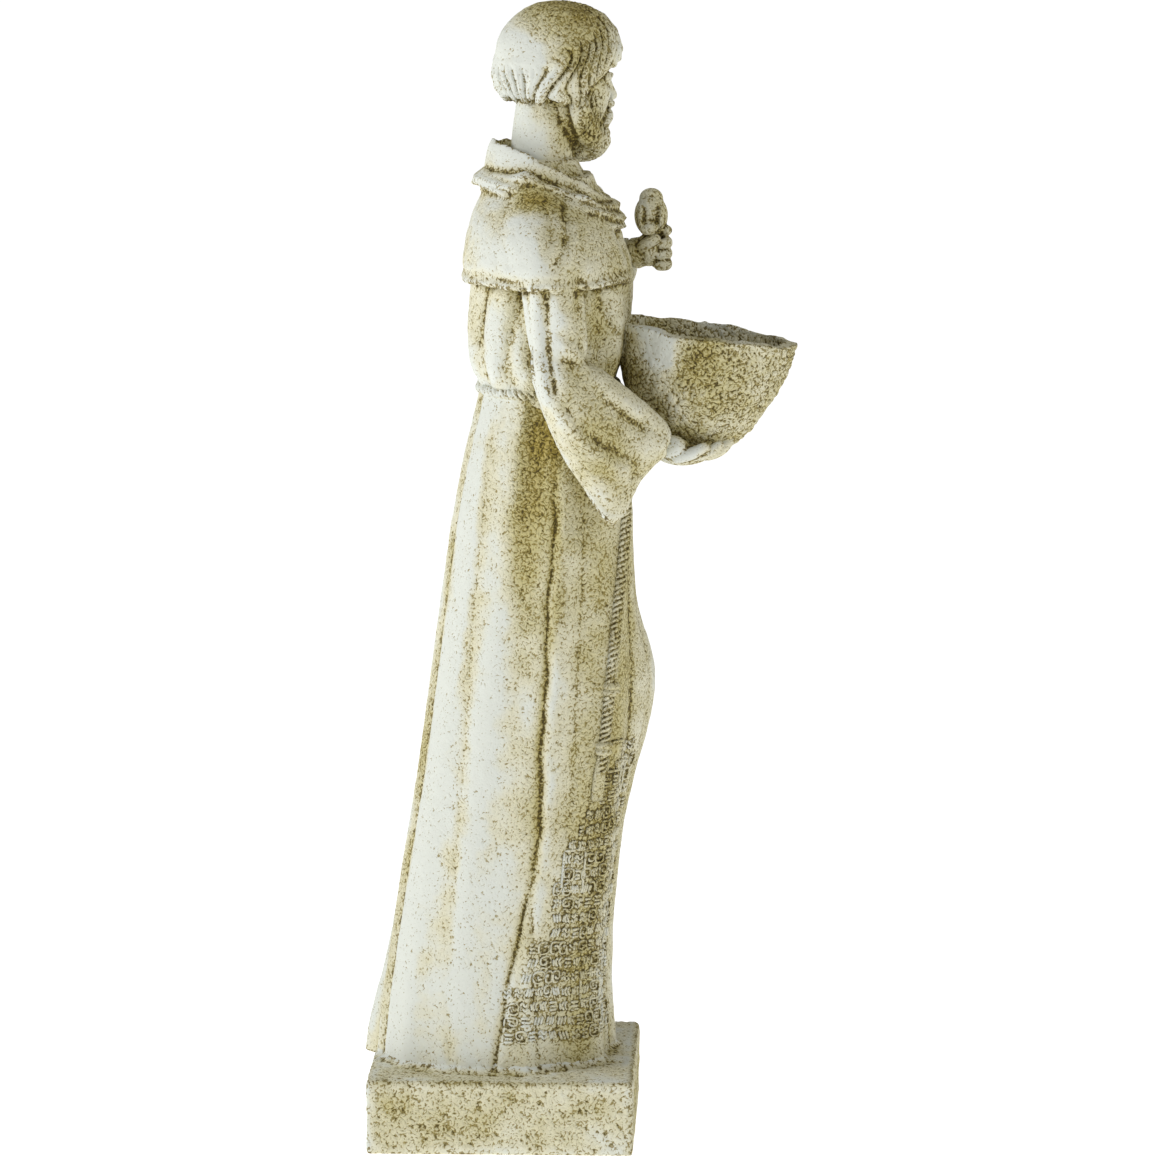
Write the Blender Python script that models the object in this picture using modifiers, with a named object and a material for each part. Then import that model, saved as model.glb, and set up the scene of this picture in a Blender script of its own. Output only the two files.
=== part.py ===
"""Garden statue of a friar who holds a bird bath bowl, cast in one piece with its plinth.

The figure faces -Y and stands on a square plinth with its underside at Z = 0. Its right hand
carries the bowl from below, and a small bird sits on its raised left hand.
The carving is laid up as simple clay forms, fused by a voxel remesh, smoothed and thinned out.
Metres, +Z up.
"""

import math

import bmesh
import bpy
import numpy as np
from mathutils import Matrix, Vector

# Plinth
PLINTH_LENGTH = 0.196  # front to back
PLINTH_WIDTH = 0.196  # left to right
PLINTH_HEIGHT = 0.055
PLINTH_EDGE = 0.003  # worn corners
PLINTH_SINK = 0.004  # how far the figure's foot runs down into the plinth

# Figure, from the plinth's top to the crown of its head
FIGURE_HEIGHT = 0.785
CARVING_UNITS = 785.0  # carving is given in 1/785 of the figure's height, 1 mm at this size
UNIT = FIGURE_HEIGHT / CARVING_UNITS

# Bowl
BOWL_LENGTH = 0.131  # front to back at the rim, without its blunt point
BOWL_WIDTH = 0.106
BOWL_HEIGHT = 0.094
BOWL_WALL = 0.009
BOWL_FLOOR = 0.026  # the floor is thick, because the hollow is shallower than the outside
BOWL_TILT = math.radians(8.0)  # the rim falls towards the front

# Mesh: the clay is fused on a grid this fine, then thinned to about this share of its faces
CLAY_GRID = FIGURE_HEIGHT / 300
KEPT_FACES = 0.048

STONE_COLOUR = (0.80, 0.79, 0.68, 1.0)
STONE_ROUGHNESS = 0.85


def spot(left, fore, up):
    """A point of the carving: to the figure's left, forward and above the plinth, in carving units."""
    return np.stack(
        np.broadcast_arrays(left * UNIT, -np.asarray(fore) * UNIT, PLINTH_HEIGHT + np.asarray(up) * UNIT),
        axis=-1,
    )


def eased(stations, up, spread=9.0):
    """The columns of a table of stations at these heights, with the corners rounded off."""
    table = np.array(stations, float)
    window = np.linspace(-spread, spread, 5)
    around = np.asarray(up, float)[..., None] + window
    return [np.interp(around, table[:, 0], column).mean(-1) for column in table.T[1:]]


def through(points, count):
    """That many points, evenly spaced, on a smooth curve through these."""
    given = np.array(points, float)
    padded = np.vstack([2 * given[0] - given[1], given, 2 * given[-1] - given[-2]])
    place = np.linspace(0, len(given) - 1, count)
    first = np.minimum(place.astype(int), len(given) - 2)
    t = (place - first)[:, None]
    a, b, c, d = (padded[first + k] for k in range(4))
    return 0.5 * (2 * b + (c - a) * t + (2 * a - 5 * b + 4 * c - d) * t**2 + (3 * b - a - 3 * c + d) * t**3)


# Clay forms


def put(clay, form):
    """Adds one finished form to the clay."""
    mesh = bpy.data.meshes.new("form")
    form.to_mesh(mesh)
    form.free()
    clay.from_mesh(mesh)
    bpy.data.meshes.remove(mesh)


def column(clay, around, along, place):
    """A closed cylinder whose points are moved to place(turn, rise): turn in radians, rise from 0 to 1."""
    form = bmesh.new()
    bmesh.ops.create_cone(form, cap_ends=True, segments=around, radius1=1, radius2=1, depth=1)
    upright = [e for e in form.edges if abs(e.verts[0].co.z - e.verts[1].co.z) > 0.5]
    bmesh.ops.subdivide_edges(form, edges=upright, cuts=along - 1)
    unit = np.array([v.co for v in form.verts])
    moved = place(np.arctan2(unit[:, 1], unit[:, 0]), unit[:, 2] + 0.5)
    for vertex, co in zip(form.verts, moved):
        vertex.co = co
    put(clay, form)


def ball(clay, centre, radii, turned=None, fine=32):
    """An ellipsoid at a point in metres, with its half sizes in carving units."""
    form = bmesh.new()
    size = Matrix.Diagonal([r * UNIT for r in radii] + [1])
    turn = (turned or Matrix.Identity(3)).to_4x4()
    bmesh.ops.create_uvsphere(
        form,
        u_segments=fine,
        v_segments=fine * 2 // 3,
        radius=1,
        matrix=Matrix.Translation(Vector(centre)) @ turn @ size,
    )
    put(clay, form)


def limb(clay, points, radii, upward=(0, 0, 1), around=16, along=24, flat=1.0, blunt=6):
    """A round-ended tube through points in metres. Its radii, in carving units, are spaced evenly along
    it, and flat is the share of the radius that it has in the direction of upward."""
    path = through(points, along * 4 + 1)
    radius = through([[r * UNIT] for r in radii], along * 4 + 1)[:, 0]
    tangent = np.gradient(path, axis=0)
    tangent /= np.linalg.norm(tangent, axis=1, keepdims=True)
    side = np.cross(tangent, np.array(upward, float))
    side /= np.linalg.norm(side, axis=1, keepdims=True)
    normal = np.cross(side, tangent)

    def place(turn, rise):
        at = np.rint(rise * (len(path) - 1)).astype(int)
        end = np.sqrt(np.maximum(1 - np.abs(2 * rise - 1) ** blunt, 0.004))
        out = np.cos(turn)[:, None] * side[at] + flat * np.sin(turn)[:, None] * normal[at]
        return path[at] + out * (radius[at] * end)[:, None]

    column(clay, around, along, place)


# Robe, in carving units: height, back, front and half width

SKIRT = [
    (-10, -94, 82, 71),
    (15, -92, 80, 72),
    (50, -89, 78, 71),
    (92, -83, 79, 70),
    (145, -75, 84, 69),
    (199, -66, 88, 68),
    (252, -58, 92, 68),
    (305, -51, 94, 67),
    (357, -44, 96, 66),
    (402, -38, 96, 65),
    (447, -30, 93, 64),
    (484, -21, 87, 60),
    (508, -16, 83, 57),
]
BELT = 503
BLOUSE = [
    (486, -14, 78, 54),
    (503, -14, 80, 56),
    (515, -23, 86, 63),
    (530, -26, 91, 66),
    (560, -26, 95, 67),
    (590, -24, 96, 67),
    (625, -16, 84, 60),
    (660, 0, 64, 40),
]
CAPE_HEM = 584
CAPE = [
    (584, -30, 95, 95),
    (592, -32, 96, 97),
    (606, -30, 90, 96),
    (622, -27, 83, 91),
    (634, -23, 77, 81),
    (644, -18, 72, 67),
    (652, -13, 66, 53),
    (662, -8, 58, 41),
    (672, -4, 52, 30),
]

# Folds of the skirt: direction in degrees from the front to the figure's right, at the belt and at
# the hem, then height (less than 0 for a groove) at the belt and at the hem, and half width in degrees
SKIRT_FOLDS = [
    (14, 8, -1, -9, 7),
    (26, 26, 1, 4, 8),
    (42, 44, 2, 3, 7),
    (60, 56, -5, -4, 10),
    (70, 71, 2, 3, 5),
    (78, 87, -7, -8, 4.5),
    (92, 98, 3, 4, 8),
    (110, 114, -1, -3, 7),
    (132, 132, 1, 4, 15),
    (155, 153, -3, -6, 4.5),
    (167, 166, 2, 3, 6),
    (180, 179, -2, -5, 7),
    (-167, -168, 2, 4, 6),
    (-150, -154, -3, -6, 5),
    (-132, -137, 2, 5, 13),
    (-112, -118, -2, -5, 6),
    (-97, -101, 2, 4, 8),
    (-80, -84, -5, -8, 5),
    (-64, -66, 3, 4, 8),
    (-47, -48, -4, -7, 6),
    (-24, -22, 2, 7, 9),
    (-6, -6, -1, -3, 6),
]
KNEE = (-20, 279, 21, 27)  # direction, height above the plinth, how far it presses out, half width
KNEE_ABOVE, KNEE_BELOW = 48, 78  # how far its slope runs up and down the robe
TRAIN = (-157, 15, 20)  # the hem trails at the back on the left: direction, reach, half width
TRAIN_HEIGHT = 55
PANEL_TOP = 160  # a flat gore opens below this height, right of the deep groove
PANEL = (80, 64, -6, 4)  # its front edge: direction at the top and at the hem, depth, half width
PLEATS = 26  # small gathers under the belt
PLEAT_DEPTH = 1.1
PLEAT_LENGTH = 46


def apart(turn, degrees):
    """How far a direction is from this one, in degrees, from -180 to 180."""
    return (np.degrees(turn) - degrees + 180) % 360 - 180


def ridge(offset, width):
    return np.exp(-((offset / width) ** 2))


def groove(offset, width):
    """Narrower at its bottom than a ridge is at its crest, as folded cloth is."""
    return np.exp(-np.abs(offset / width) ** 1.3)


def fold_height(folds, turn, share):
    """The sum of the folds, where share is 0 at their foot and 1 at their head."""
    total = np.zeros_like(turn)
    for head, foot, head_height, foot_height, width in folds:
        centre = foot + (head - foot) * share + 1.6 * np.sin(share * 7 + head)
        height = foot_height + (head_height - foot_height) * share
        shape = groove if foot_height < 0 else ridge
        total += height * shape(apart(turn, centre), width)
    return total


def skirt_swell(turn, up):
    share = np.clip(up / BELT, 0, 1)
    total = fold_height(SKIRT_FOLDS, turn, share)
    direction, level, reach, width = KNEE
    slope = np.where(up > level, KNEE_ABOVE, KNEE_BELOW)
    total += reach * ridge(apart(turn, direction), width) * ridge(up - level, slope)
    direction, reach, width = TRAIN
    total += reach * ridge(apart(turn, direction), width) * ridge(np.maximum(up, 0), TRAIN_HEIGHT)
    head, foot, depth, width = PANEL
    down = np.clip(1 - up / PANEL_TOP, 0, 1)
    total += depth * np.minimum(down * 3, 1) * groove(apart(turn, head + (foot - head) * down), width)
    gathers = np.abs(np.sin(turn * PLEATS / 2)) * np.exp(-(BELT - up) / PLEAT_LENGTH)
    return total - PLEAT_DEPTH * gathers


def robe_point(stations, swell, turn, up):
    back, front, half = eased(stations, up)
    fore = (front + back) / 2 + ((front - back) / 2 + swell) * np.cos(turn)
    return spot(-(half + swell) * np.sin(turn), fore, up)


def skirt_point(turn, up):
    return robe_point(SKIRT, skirt_swell(turn, up), turn, up)


BLOUSE_FOLDS = [
    (12, 6, -2, -3, 7),
    (34, 28, 2, 3, 8),
    (52, 50, -3, -3, 7),
    (112, 118, -2, -3, 6),
    (128, 132, 2, 4, 8),
    (142, 148, -2, -3, 6),
    (160, 164, 1, 3, 8),
    (178, 180, -1, -3, 6),
    (-160, -164, 1, 3, 8),
    (-140, -146, -2, -4, 6),
    (-120, -124, 2, 3, 8),
    (-52, -50, -2, -3, 7),
    (-32, -30, 2, 3, 8),
    (-14, -12, -2, -3, 7),
]


def blouse_point(turn, up):
    share = np.clip((up - BELT) / (CAPE_HEM - BELT), 0, 1)
    swell = fold_height(BLOUSE_FOLDS, turn, share) * np.clip((up - BELT) / 12, 0, 1)
    return robe_point(BLOUSE, swell, turn, up)


CAPE_FOLDS = [
    (6, 10, -1, -3, 6),
    (22, 24, 1, 3, 7),
    (38, 42, -1, -3, 6),
    (60, 66, -3, -3, 6),
    (88, 90, 2, 5, 13),
    (118, 122, -1, -3, 8),
    (150, 146, 1, 2, 12),
    (178, 178, -1, -2, 9),
    (-150, -144, 1, 3, 10),
    (-122, -120, -1, -3, 8),
    (-90, -90, 2, 5, 13),
    (-62, -66, -3, -4, 6),
    (-40, -42, 1, 3, 7),
    (-18, -20, -1, -3, 6),
]


def cape_point(turn, up):
    share = np.clip((up - CAPE_HEM) / (CAPE[-1][0] - CAPE_HEM), 0, 1)
    return robe_point(CAPE, fold_height(CAPE_FOLDS, turn, share), turn, up)


def add_robe(clay):
    low, high = -PLINTH_SINK / UNIT, BELT + 4
    column(clay, 180, 90, lambda turn, rise: skirt_point(turn, low + (high - low) * rise))
    low, high = BLOUSE[0][0], BLOUSE[-1][0]
    column(clay, 120, 44, lambda turn, rise: blouse_point(turn, low + (high - low) * rise))
    low, high = CAPE_HEM, CAPE[-1][0]
    column(clay, 140, 36, lambda turn, rise: cape_point(turn, low + (high - low) * rise))


# Ground under the hem
GROUND = (0, -6, -2), (82, 92, 9)


def add_ground(clay):
    centre, radii = GROUND
    ball(clay, spot(*centre), radii, fine=48)


# Cowl: a rolled hood behind a standing collar, both lower at the front. Each is its middle, half
# length and half width, mid height, rise towards the back, and half thickness and half height
COLLAR = (34, 43, 42, 655, 19, 3.6, 9.5)
HOOD_ROLL = (32, 44, 50, 641, 19, 7.5, 7.5)


def add_hoop(clay, hoop, lumps=0.0):
    middle, length, width, level, rise, thick, tall = hoop

    def place(section, along):
        turn = along * math.tau
        heavy = 1 + lumps * np.cos(turn * 5 + 1) - 0.18 * np.cos(turn)
        out = thick * heavy * np.cos(section)
        fore = middle + (length + out) * np.cos(turn)
        left = -(width + out) * np.sin(turn)
        return spot(left, fore, level - rise * np.cos(turn) + tall * heavy * np.sin(section))

    column(clay, 14, 96, place)


# Cord, round the waist and hanging down the robe's front
CORD_RADIUS = 4.2
CORD_FALL = [(17, 498), (24, 455), (33, 405), (41, 350), (45, 300), (47, 262), (48, 232)]
CORD_PROUD = 1.5  # how far its middle stands off the robe
CORD_KNOTS = [(45, 292), (47, 262)]
KNOT_RADIUS = 6.5


def on_skirt(degrees, up, proud):
    """A point that far off the skirt, in carving units."""
    turn = np.radians(np.asarray(degrees, float))
    back, front, half = eased(SKIRT, up)
    swell = skirt_swell(turn, np.asarray(up, float)) + proud
    fore = (front + back) / 2 + ((front - back) / 2 + swell) * np.cos(turn)
    return spot(-(half + swell) * np.sin(turn), fore, np.asarray(up, float))


def add_cord(clay):
    around = np.linspace(0, 360, 49)
    waist = on_skirt(around, np.full(49, float(BELT)), CORD_PROUD)
    limb(clay, waist, [CORD_RADIUS] * 2, around=12, along=96, blunt=400)
    fall = np.array(CORD_FALL, float)
    limb(
        clay,
        on_skirt(fall[:, 0], fall[:, 1], CORD_PROUD),
        [CORD_RADIUS] * 6 + [CORD_RADIUS * 1.3],
        upward=(0, 1, 0),
        around=12,
        along=60,
    )
    for degrees, up in CORD_KNOTS:
        ball(clay, on_skirt(degrees, up, CORD_PROUD), (KNOT_RADIUS,) * 3, fine=16)


# Arms, as (left, fore, up)
RIGHT_SHOULDER, RIGHT_ELBOW, RIGHT_WRIST = (-70, 34, 616), (-83, 46, 522), (-44, 122, 466)
LEFT_SHOULDER, LEFT_ELBOW, LEFT_WRIST = (72, 22, 628), (86, 34, 520), (56, 92, 594)
UPPER_ARM = (23, 22, 21)
RIGHT_FOREARM = (21, 18, 13)
LEFT_FOREARM = (23, 18, 11)
# Each hanging sleeve: fore, middle to the left, top, bottom and half thickness
RIGHT_SLEEVE = [
    (24, -83, 542, 518, 12),
    (34, -85, 550, 488, 21),
    (46, -85, 546, 462, 22),
    (58, -84, 536, 444, 21),
    (70, -81, 524, 425, 19),
    (82, -76, 512, 409, 16),
    (92, -70, 501, 418, 14),
    (100, -64, 493, 438, 14),
    (110, -57, 485, 450, 15),
    (121, -48, 477, 459, 12),
]
LEFT_SLEEVE = [
    (18, 86, 530, 512, 12),
    (30, 88, 552, 488, 22),
    (44, 88, 566, 458, 22),
    (58, 84, 584, 440, 18),
    (70, 78, 596, 446, 16),
    (80, 70, 604, 520, 14),
    (90, 60, 606, 584, 12),
]


def add_sleeve(clay, stations):
    """A sleeve that hangs under the forearm: rounded above, and thinner towards its lower edge."""
    first, last = stations[0][0], stations[-1][0]

    def place(turn, rise):
        fore = first + (last - first) * rise
        middle, top, bottom, thick = eased(stations, fore, spread=3)
        height = np.sin(turn)
        narrow = np.where(height < 0, 1 - 0.45 * height**2, 1)
        up = (top + bottom) / 2 + (top - bottom) / 2 * height
        return spot(middle + thick * narrow * np.cos(turn), fore, up)

    column(clay, 40, 40, place)


def add_arms(clay):
    for shoulder, elbow, wrist, forearm in (
        (RIGHT_SHOULDER, RIGHT_ELBOW, RIGHT_WRIST, RIGHT_FOREARM),
        (LEFT_SHOULDER, LEFT_ELBOW, LEFT_WRIST, LEFT_FOREARM),
    ):
        limb(clay, [spot(*shoulder), spot(*elbow)], UPPER_ARM, upward=(0, 1, 0), along=16)
        limb(clay, [spot(*elbow), spot(*wrist)], forearm, along=16)
    add_sleeve(clay, RIGHT_SLEEVE)
    add_sleeve(clay, LEFT_SLEEVE)


# Hands. The right palm lies under the bowl, with the fingers spread towards the front and the thumb
# up its side. The left hand is a loose fist with the first finger held out as a perch.
FINGER = (4.8, 4.6, 3.6)
PALM = (-20, 132, 456), (20, 20, 8.5)
BOWL_REST = (0, 78, 486), (34, 16, 22)  # fills the hollow between the bowl and the belly
RIGHT_FINGERS = [
    [(-36, 138, 456), (-33, 152, 459), (-28, 162, 466)],
    [(-22, 146, 454), (-18, 159, 458), (-13, 169, 467)],
    [(-9, 147, 453), (-3, 160, 457), (3, 169, 466)],
    [(2, 142, 453), (11, 154, 457), (17, 162, 464)],
]
RIGHT_THUMB = [(-40, 126, 458), (-43, 138, 466), (-42, 150, 475)]
FIST = (52, 105, 598), (9, 9, 11)
LEFT_FINGERS = [[(57, 106, top), (57, 116, top), (49, 118, top - 1), (45, 109, top - 2)] for top in (604, 596, 588)]
PERCH_FINGER = [(56, 105, 608), (54, 115, 612), (46, 121, 613)]
LEFT_THUMB = [(46, 98, 598), (42, 106, 605), (42, 114, 609)]


def add_hands(clay):
    limb(clay, [spot(*RIGHT_WRIST), spot(*PALM[0])], (11, 11), flat=0.8)
    ball(clay, spot(*PALM[0]), PALM[1])
    ball(clay, spot(*BOWL_REST[0]), BOWL_REST[1])
    ball(clay, spot(*FIST[0]), FIST[1])
    limb(clay, [spot(*LEFT_WRIST), spot(*FIST[0])], (9.5, 9))
    for finger in [*RIGHT_FINGERS, RIGHT_THUMB, *LEFT_FINGERS, PERCH_FINGER, LEFT_THUMB]:
        limb(clay, [spot(*joint) for joint in finger], FINGER, around=12, along=12)


# Bird, with its back to the figure's right
BIRD_BODY = (50, 107, 626), (12.5, 11.5, 12.5)
BIRD_HEAD = (56, 107, 637), (6.5, 6.5, 6.2)
BIRD_BEAK = [(60, 107, 637), (66, 107, 635)]
BIRD_TAIL = [(44, 106, 620), (33, 105, 612)]


def add_bird(clay):
    for centre, radii in (BIRD_BODY, BIRD_HEAD):
        ball(clay, spot(*centre), radii, fine=24)
    limb(clay, [spot(*p) for p in BIRD_BEAK], (2.6, 1.2), along=6)
    limb(clay, [spot(*p) for p in BIRD_TAIL], (7, 5), flat=0.4, along=8)


# Head, about a point between the ears: left, fore and up from there, then turned and bowed
HEAD = (0, 37, 732)
HEAD_TURN = math.radians(30)
HEAD_BOW = math.radians(5)
SKULL = (0, -3, 14), (35, 43, 38)
FACE = (0, 14, -12), (28, 29, 42)
JAW = (0, 19, -30), (21, 22, 20)
BEARD = (0, 27, -44), (20, 21, 18)
NECK = [((0, 25, 640), 29), ((0, 28, 672), 24), ((0, 30, 698), 22.5), ((0, 34, 728), 23)]
# Face features: left, up, half width, half height and how far each stands out. Both sides are alike.
FACE_FEATURES = [
    (11, 9, 11, 4.5, 2.6),
    (0, 8, 6, 6, 1.2),
    (13, 0.5, 8.5, 5.5, -5.5),
    (19, -10, 9, 7, 2.4),
    (19, -27, 7, 9, -2.0),
    (0, -30, 11, 8, 2.4),
]
EYE = (13, 32.6, 0), 7.4
NOSE = [(0, 41, 5), (0, 46, -6), (0, 51, -16)]
NOSE_RADII = (3.2, 3.4, 4.6)
NOSTRIL = (4.6, 45.5, -18.5), (3.6, 4.2, 3.2)
LIPS = ((0, 44.6, -30), (8, 3, 2.0)), ((0, 44.0, -33.6), (7, 3.2, 2.4))
EAR = (35.5, -4, -5), (4, 8, 12)
WHISKERS = [(31, 2, -8), (28, 11, -28), (17, 25, -44), (4, 35, -52)]
MOUSTACHE = [(1, 46.5, -24.5), (9, 43, -28), (15, 36, -37)]
# Hair, by height: half length forward and back from its middle, and half width
HAIR_MIDDLE = 1
HAIR = [
    (54, 4, 4, 4),
    (51.5, 20, 17, 16),
    (46, 33, 27, 26),
    (36, 44, 36, 34),
    (22, 52, 43, 40),
    (8, 52, 47, 42),
    (-4, 49, 48, 42),
    (-14, 45, 46, 41),
    (-22, 38, 39, 35),
]
FRINGE_EDGE, NAPE_EDGE = 17, -22  # height of the hair's lower edge over the brow and at the back
FRINGE_SIDE, NAPE_SIDE = 52, 92  # the edge falls from one to the other between these directions
HAIR_LOCKS = 34
LOCK_DEPTH = 1.3


def head_turned():
    return Matrix.Rotation(HEAD_TURN, 3, "Z") @ Matrix.Rotation(HEAD_BOW, 3, "X")


def head_spot(left, fore, up):
    """A point of the head, in metres."""
    local = np.stack(np.broadcast_arrays(left, -np.asarray(fore, float), up), axis=-1)
    return spot(*HEAD) + local @ np.array(head_turned()).T * UNIT


def hair_edge(turn):
    """Height of the hair's lower edge in this direction."""
    share = np.clip((np.abs(np.degrees(turn)) - FRINGE_SIDE) / (NAPE_SIDE - FRINGE_SIDE), 0, 1)
    return FRINGE_EDGE + (NAPE_EDGE - FRINGE_EDGE) * (share * share * (3 - 2 * share))


def add_hair(clay):
    def place(turn, rise):
        edge = hair_edge(turn)
        up = edge + (HAIR[0][0] - edge) * rise
        table = np.array(HAIR[::-1], float)
        front, back, half = (np.interp(up, table[:, 0], c) for c in table.T[1:])
        lock = LOCK_DEPTH * np.abs(np.sin(turn * HAIR_LOCKS / 2 + up / 9)) * np.clip((44 - up) / 20, 0, 1)
        reach = np.where(np.cos(turn) > 0, front, back) - lock
        return head_spot(-(half - lock) * np.sin(turn), HAIR_MIDDLE + reach * np.cos(turn), up)

    column(clay, 120, 30, place)


def add_face(clay):
    """The face, whose features press its front out or in."""
    form = bmesh.new()
    centre, radii = FACE
    bmesh.ops.create_uvsphere(form, u_segments=72, v_segments=56, radius=1)
    unit = np.array([v.co for v in form.verts]) * radii
    left, fore, up = unit[:, 0], -unit[:, 1] + centre[1], unit[:, 2] + centre[2]
    facing = np.clip((fore - centre[1]) / 12, 0, 1)
    for side, level, wide, tall, push in FACE_FEATURES:
        for mirrored in {side, -side}:
            bump = np.exp(-(((left - mirrored) / wide) ** 2) - ((up - level) / tall) ** 2)
            fore = fore + push * bump * facing
    for vertex, co in zip(form.verts, head_spot(left, fore, up)):
        vertex.co = co
    put(clay, form)


def add_head(clay):
    turned = head_turned()
    limb(clay, [spot(*at) for at, _ in NECK], [r for _, r in NECK], upward=(0, 1, 0), around=28)
    for centre, radii in (SKULL, JAW, BEARD, *LIPS):
        ball(clay, head_spot(*centre), radii, turned)
    add_face(clay)
    limb(clay, [head_spot(*p) for p in NOSE], NOSE_RADII, along=12)
    for side in (1, -1):
        centre, radius = EYE
        ball(clay, head_spot(side * centre[0], *centre[1:]), (radius,) * 3, turned, fine=20)
        for centre, radii in (NOSTRIL, EAR):
            ball(clay, head_spot(side * centre[0], *centre[1:]), radii, turned, fine=20)
        limb(clay, [head_spot(side * x, y, z) for x, y, z in WHISKERS], (7, 8, 9, 8), along=16)
        limb(clay, [head_spot(side * x, y, z) for x, y, z in MOUSTACHE], (3, 3.6, 2.4), along=12)
    add_hair(clay)


# Assembly


def stone_material():
    material = bpy.data.materials.new("weathered_cast_stone")
    material.use_nodes = True
    shader = material.node_tree.nodes["Principled BSDF"]
    shader.inputs["Base Color"].default_value = STONE_COLOUR
    shader.inputs["Roughness"].default_value = STONE_ROUGHNESS
    return material


def new_object(name, form, collection):
    mesh = bpy.data.meshes.new(name)
    form.to_mesh(mesh)
    form.free()
    made = bpy.data.objects.new(name, mesh)
    collection.objects.link(made)
    return made


def as_helper(made):
    """Keeps a guide or a Boolean's operand out of the finished model."""
    made.hide_render = True
    made.display_type = "WIRE"


def make_figure(collection):
    clay = bmesh.new()
    add_robe(clay)
    add_ground(clay)
    add_hoop(clay, COLLAR)
    add_hoop(clay, HOOD_ROLL, lumps=0.12)
    add_cord(clay)
    add_arms(clay)
    add_hands(clay)
    add_bird(clay)
    add_head(clay)
    figure = new_object("saint_francis_statue", clay, collection)
    fused = figure.modifiers.new("fused", "REMESH")
    fused.mode = "VOXEL"
    fused.voxel_size = CLAY_GRID
    rubbed = figure.modifiers.new("rubbed", "SMOOTH")
    rubbed.factor = 0.5
    rubbed.iterations = 2
    thinned = figure.modifiers.new("thinned", "DECIMATE")
    thinned.ratio = KEPT_FACES
    return figure


def make_plinth(collection):
    form = bmesh.new()
    size = Matrix.Diagonal((PLINTH_WIDTH, PLINTH_LENGTH, PLINTH_HEIGHT, 1))
    bmesh.ops.create_cube(form, size=1, matrix=Matrix.Translation((0, 0, PLINTH_HEIGHT / 2)) @ size)
    worn = [e for e in form.edges if max(v.co.z for v in e.verts) > PLINTH_HEIGHT / 2]
    bmesh.ops.bevel(form, geom=worn, offset=PLINTH_EDGE, segments=2, profile=0.5, affect="EDGES", material=-1)
    return new_object("plinth", form, collection)


BOWL_FOOT = (0, 134, 453)
BOWL_POINT = 0.08  # how far the rim draws out to a blunt point at the front, as a share
# The bowl's reach, as a share of its rim, by height
BOWL_SHAPE = [(0.0, 0.28), (0.10, 0.45), (0.25, 0.63), (0.5, 0.82), (0.75, 0.935), (1.0, 1.0)]


def bowl_reach(level):
    """How wide the bowl is at this share of its height, as a share of its rim."""
    table = np.array(BOWL_SHAPE)
    return np.interp(level, table[:, 0], table[:, 1])


def make_bowl(collection):
    """A shell: up the outside, over the rim and down the inside."""
    foot = spot(*BOWL_FOOT)
    lean = np.array(Matrix.Rotation(BOWL_TILT, 3, "X"))
    form = bmesh.new()
    rings = 18

    def at(turn, level, wall):
        point = 1 + BOWL_POINT * ridge(np.degrees(turn), 30)
        reach = bowl_reach(level)
        fore = (BOWL_LENGTH / 2 * reach - wall) * point * np.cos(turn)
        left = (BOWL_WIDTH / 2 * reach - wall) * np.sin(turn)
        return np.stack([left, -fore, np.broadcast_to(level * BOWL_HEIGHT, fore.shape)], axis=-1)

    def place(turn, rise):
        outside = rise < 0.5
        climb = np.clip(np.where(outside, rise * 2, 2 - rise * 2), 0, 1)
        floor = BOWL_FLOOR / BOWL_HEIGHT
        level = np.where(outside, climb, floor + (1 - floor) * climb)
        inner = np.where(outside, 0, BOWL_WALL)
        shrink = np.where(outside, 1, 0.25 + 0.75 * np.sqrt(np.clip(climb * 1.6, 0, 1)))
        local = at(turn, level, inner)
        local[:, :2] *= shrink[:, None]
        return foot + local @ lean.T

    column(form, 32, rings, place)
    return new_object("bowl", form, collection)


def join(body, other, name):
    """Adds another closed solid to the body with a Boolean union."""
    union = body.modifiers.new(name, "BOOLEAN")
    union.operation = "UNION"
    union.object = other
    as_helper(other)


def main():
    for old in list(bpy.data.objects):
        bpy.data.objects.remove(old)
    statue = bpy.data.collections.new("saint_francis")
    cutters = bpy.data.collections.new("cutters")
    bpy.context.scene.collection.children.link(statue)
    bpy.context.scene.collection.children.link(cutters)
    figure = make_figure(statue)
    join(figure, make_plinth(cutters), "plinth")
    join(figure, make_bowl(cutters), "bowl")
    figure.data.materials.append(stone_material())


main()
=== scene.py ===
"""Looks of the garden statue: a friar cast in stone who carries a bird bath bowl and a small bird.

Everything is one casting, so every piece here has the same weathered finish. The pieces are the
plinth with the ground under the hem, the skirt of the robe, the raised strokes on it, the upper
robe with cape, cowl and sleeves, the head, the right hand, the left hand with the bird, the bowl,
the rope belt and the rope's hanging end. Metres, +Z up, the figure faces -Y and the camera looks
at its right side.
"""

import itertools
import math

import bmesh
import bpy
import numpy as np
from mathutils import Matrix, Vector
from mathutils.bvhtree import BVHTree
from mathutils.kdtree import KDTree


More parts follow.
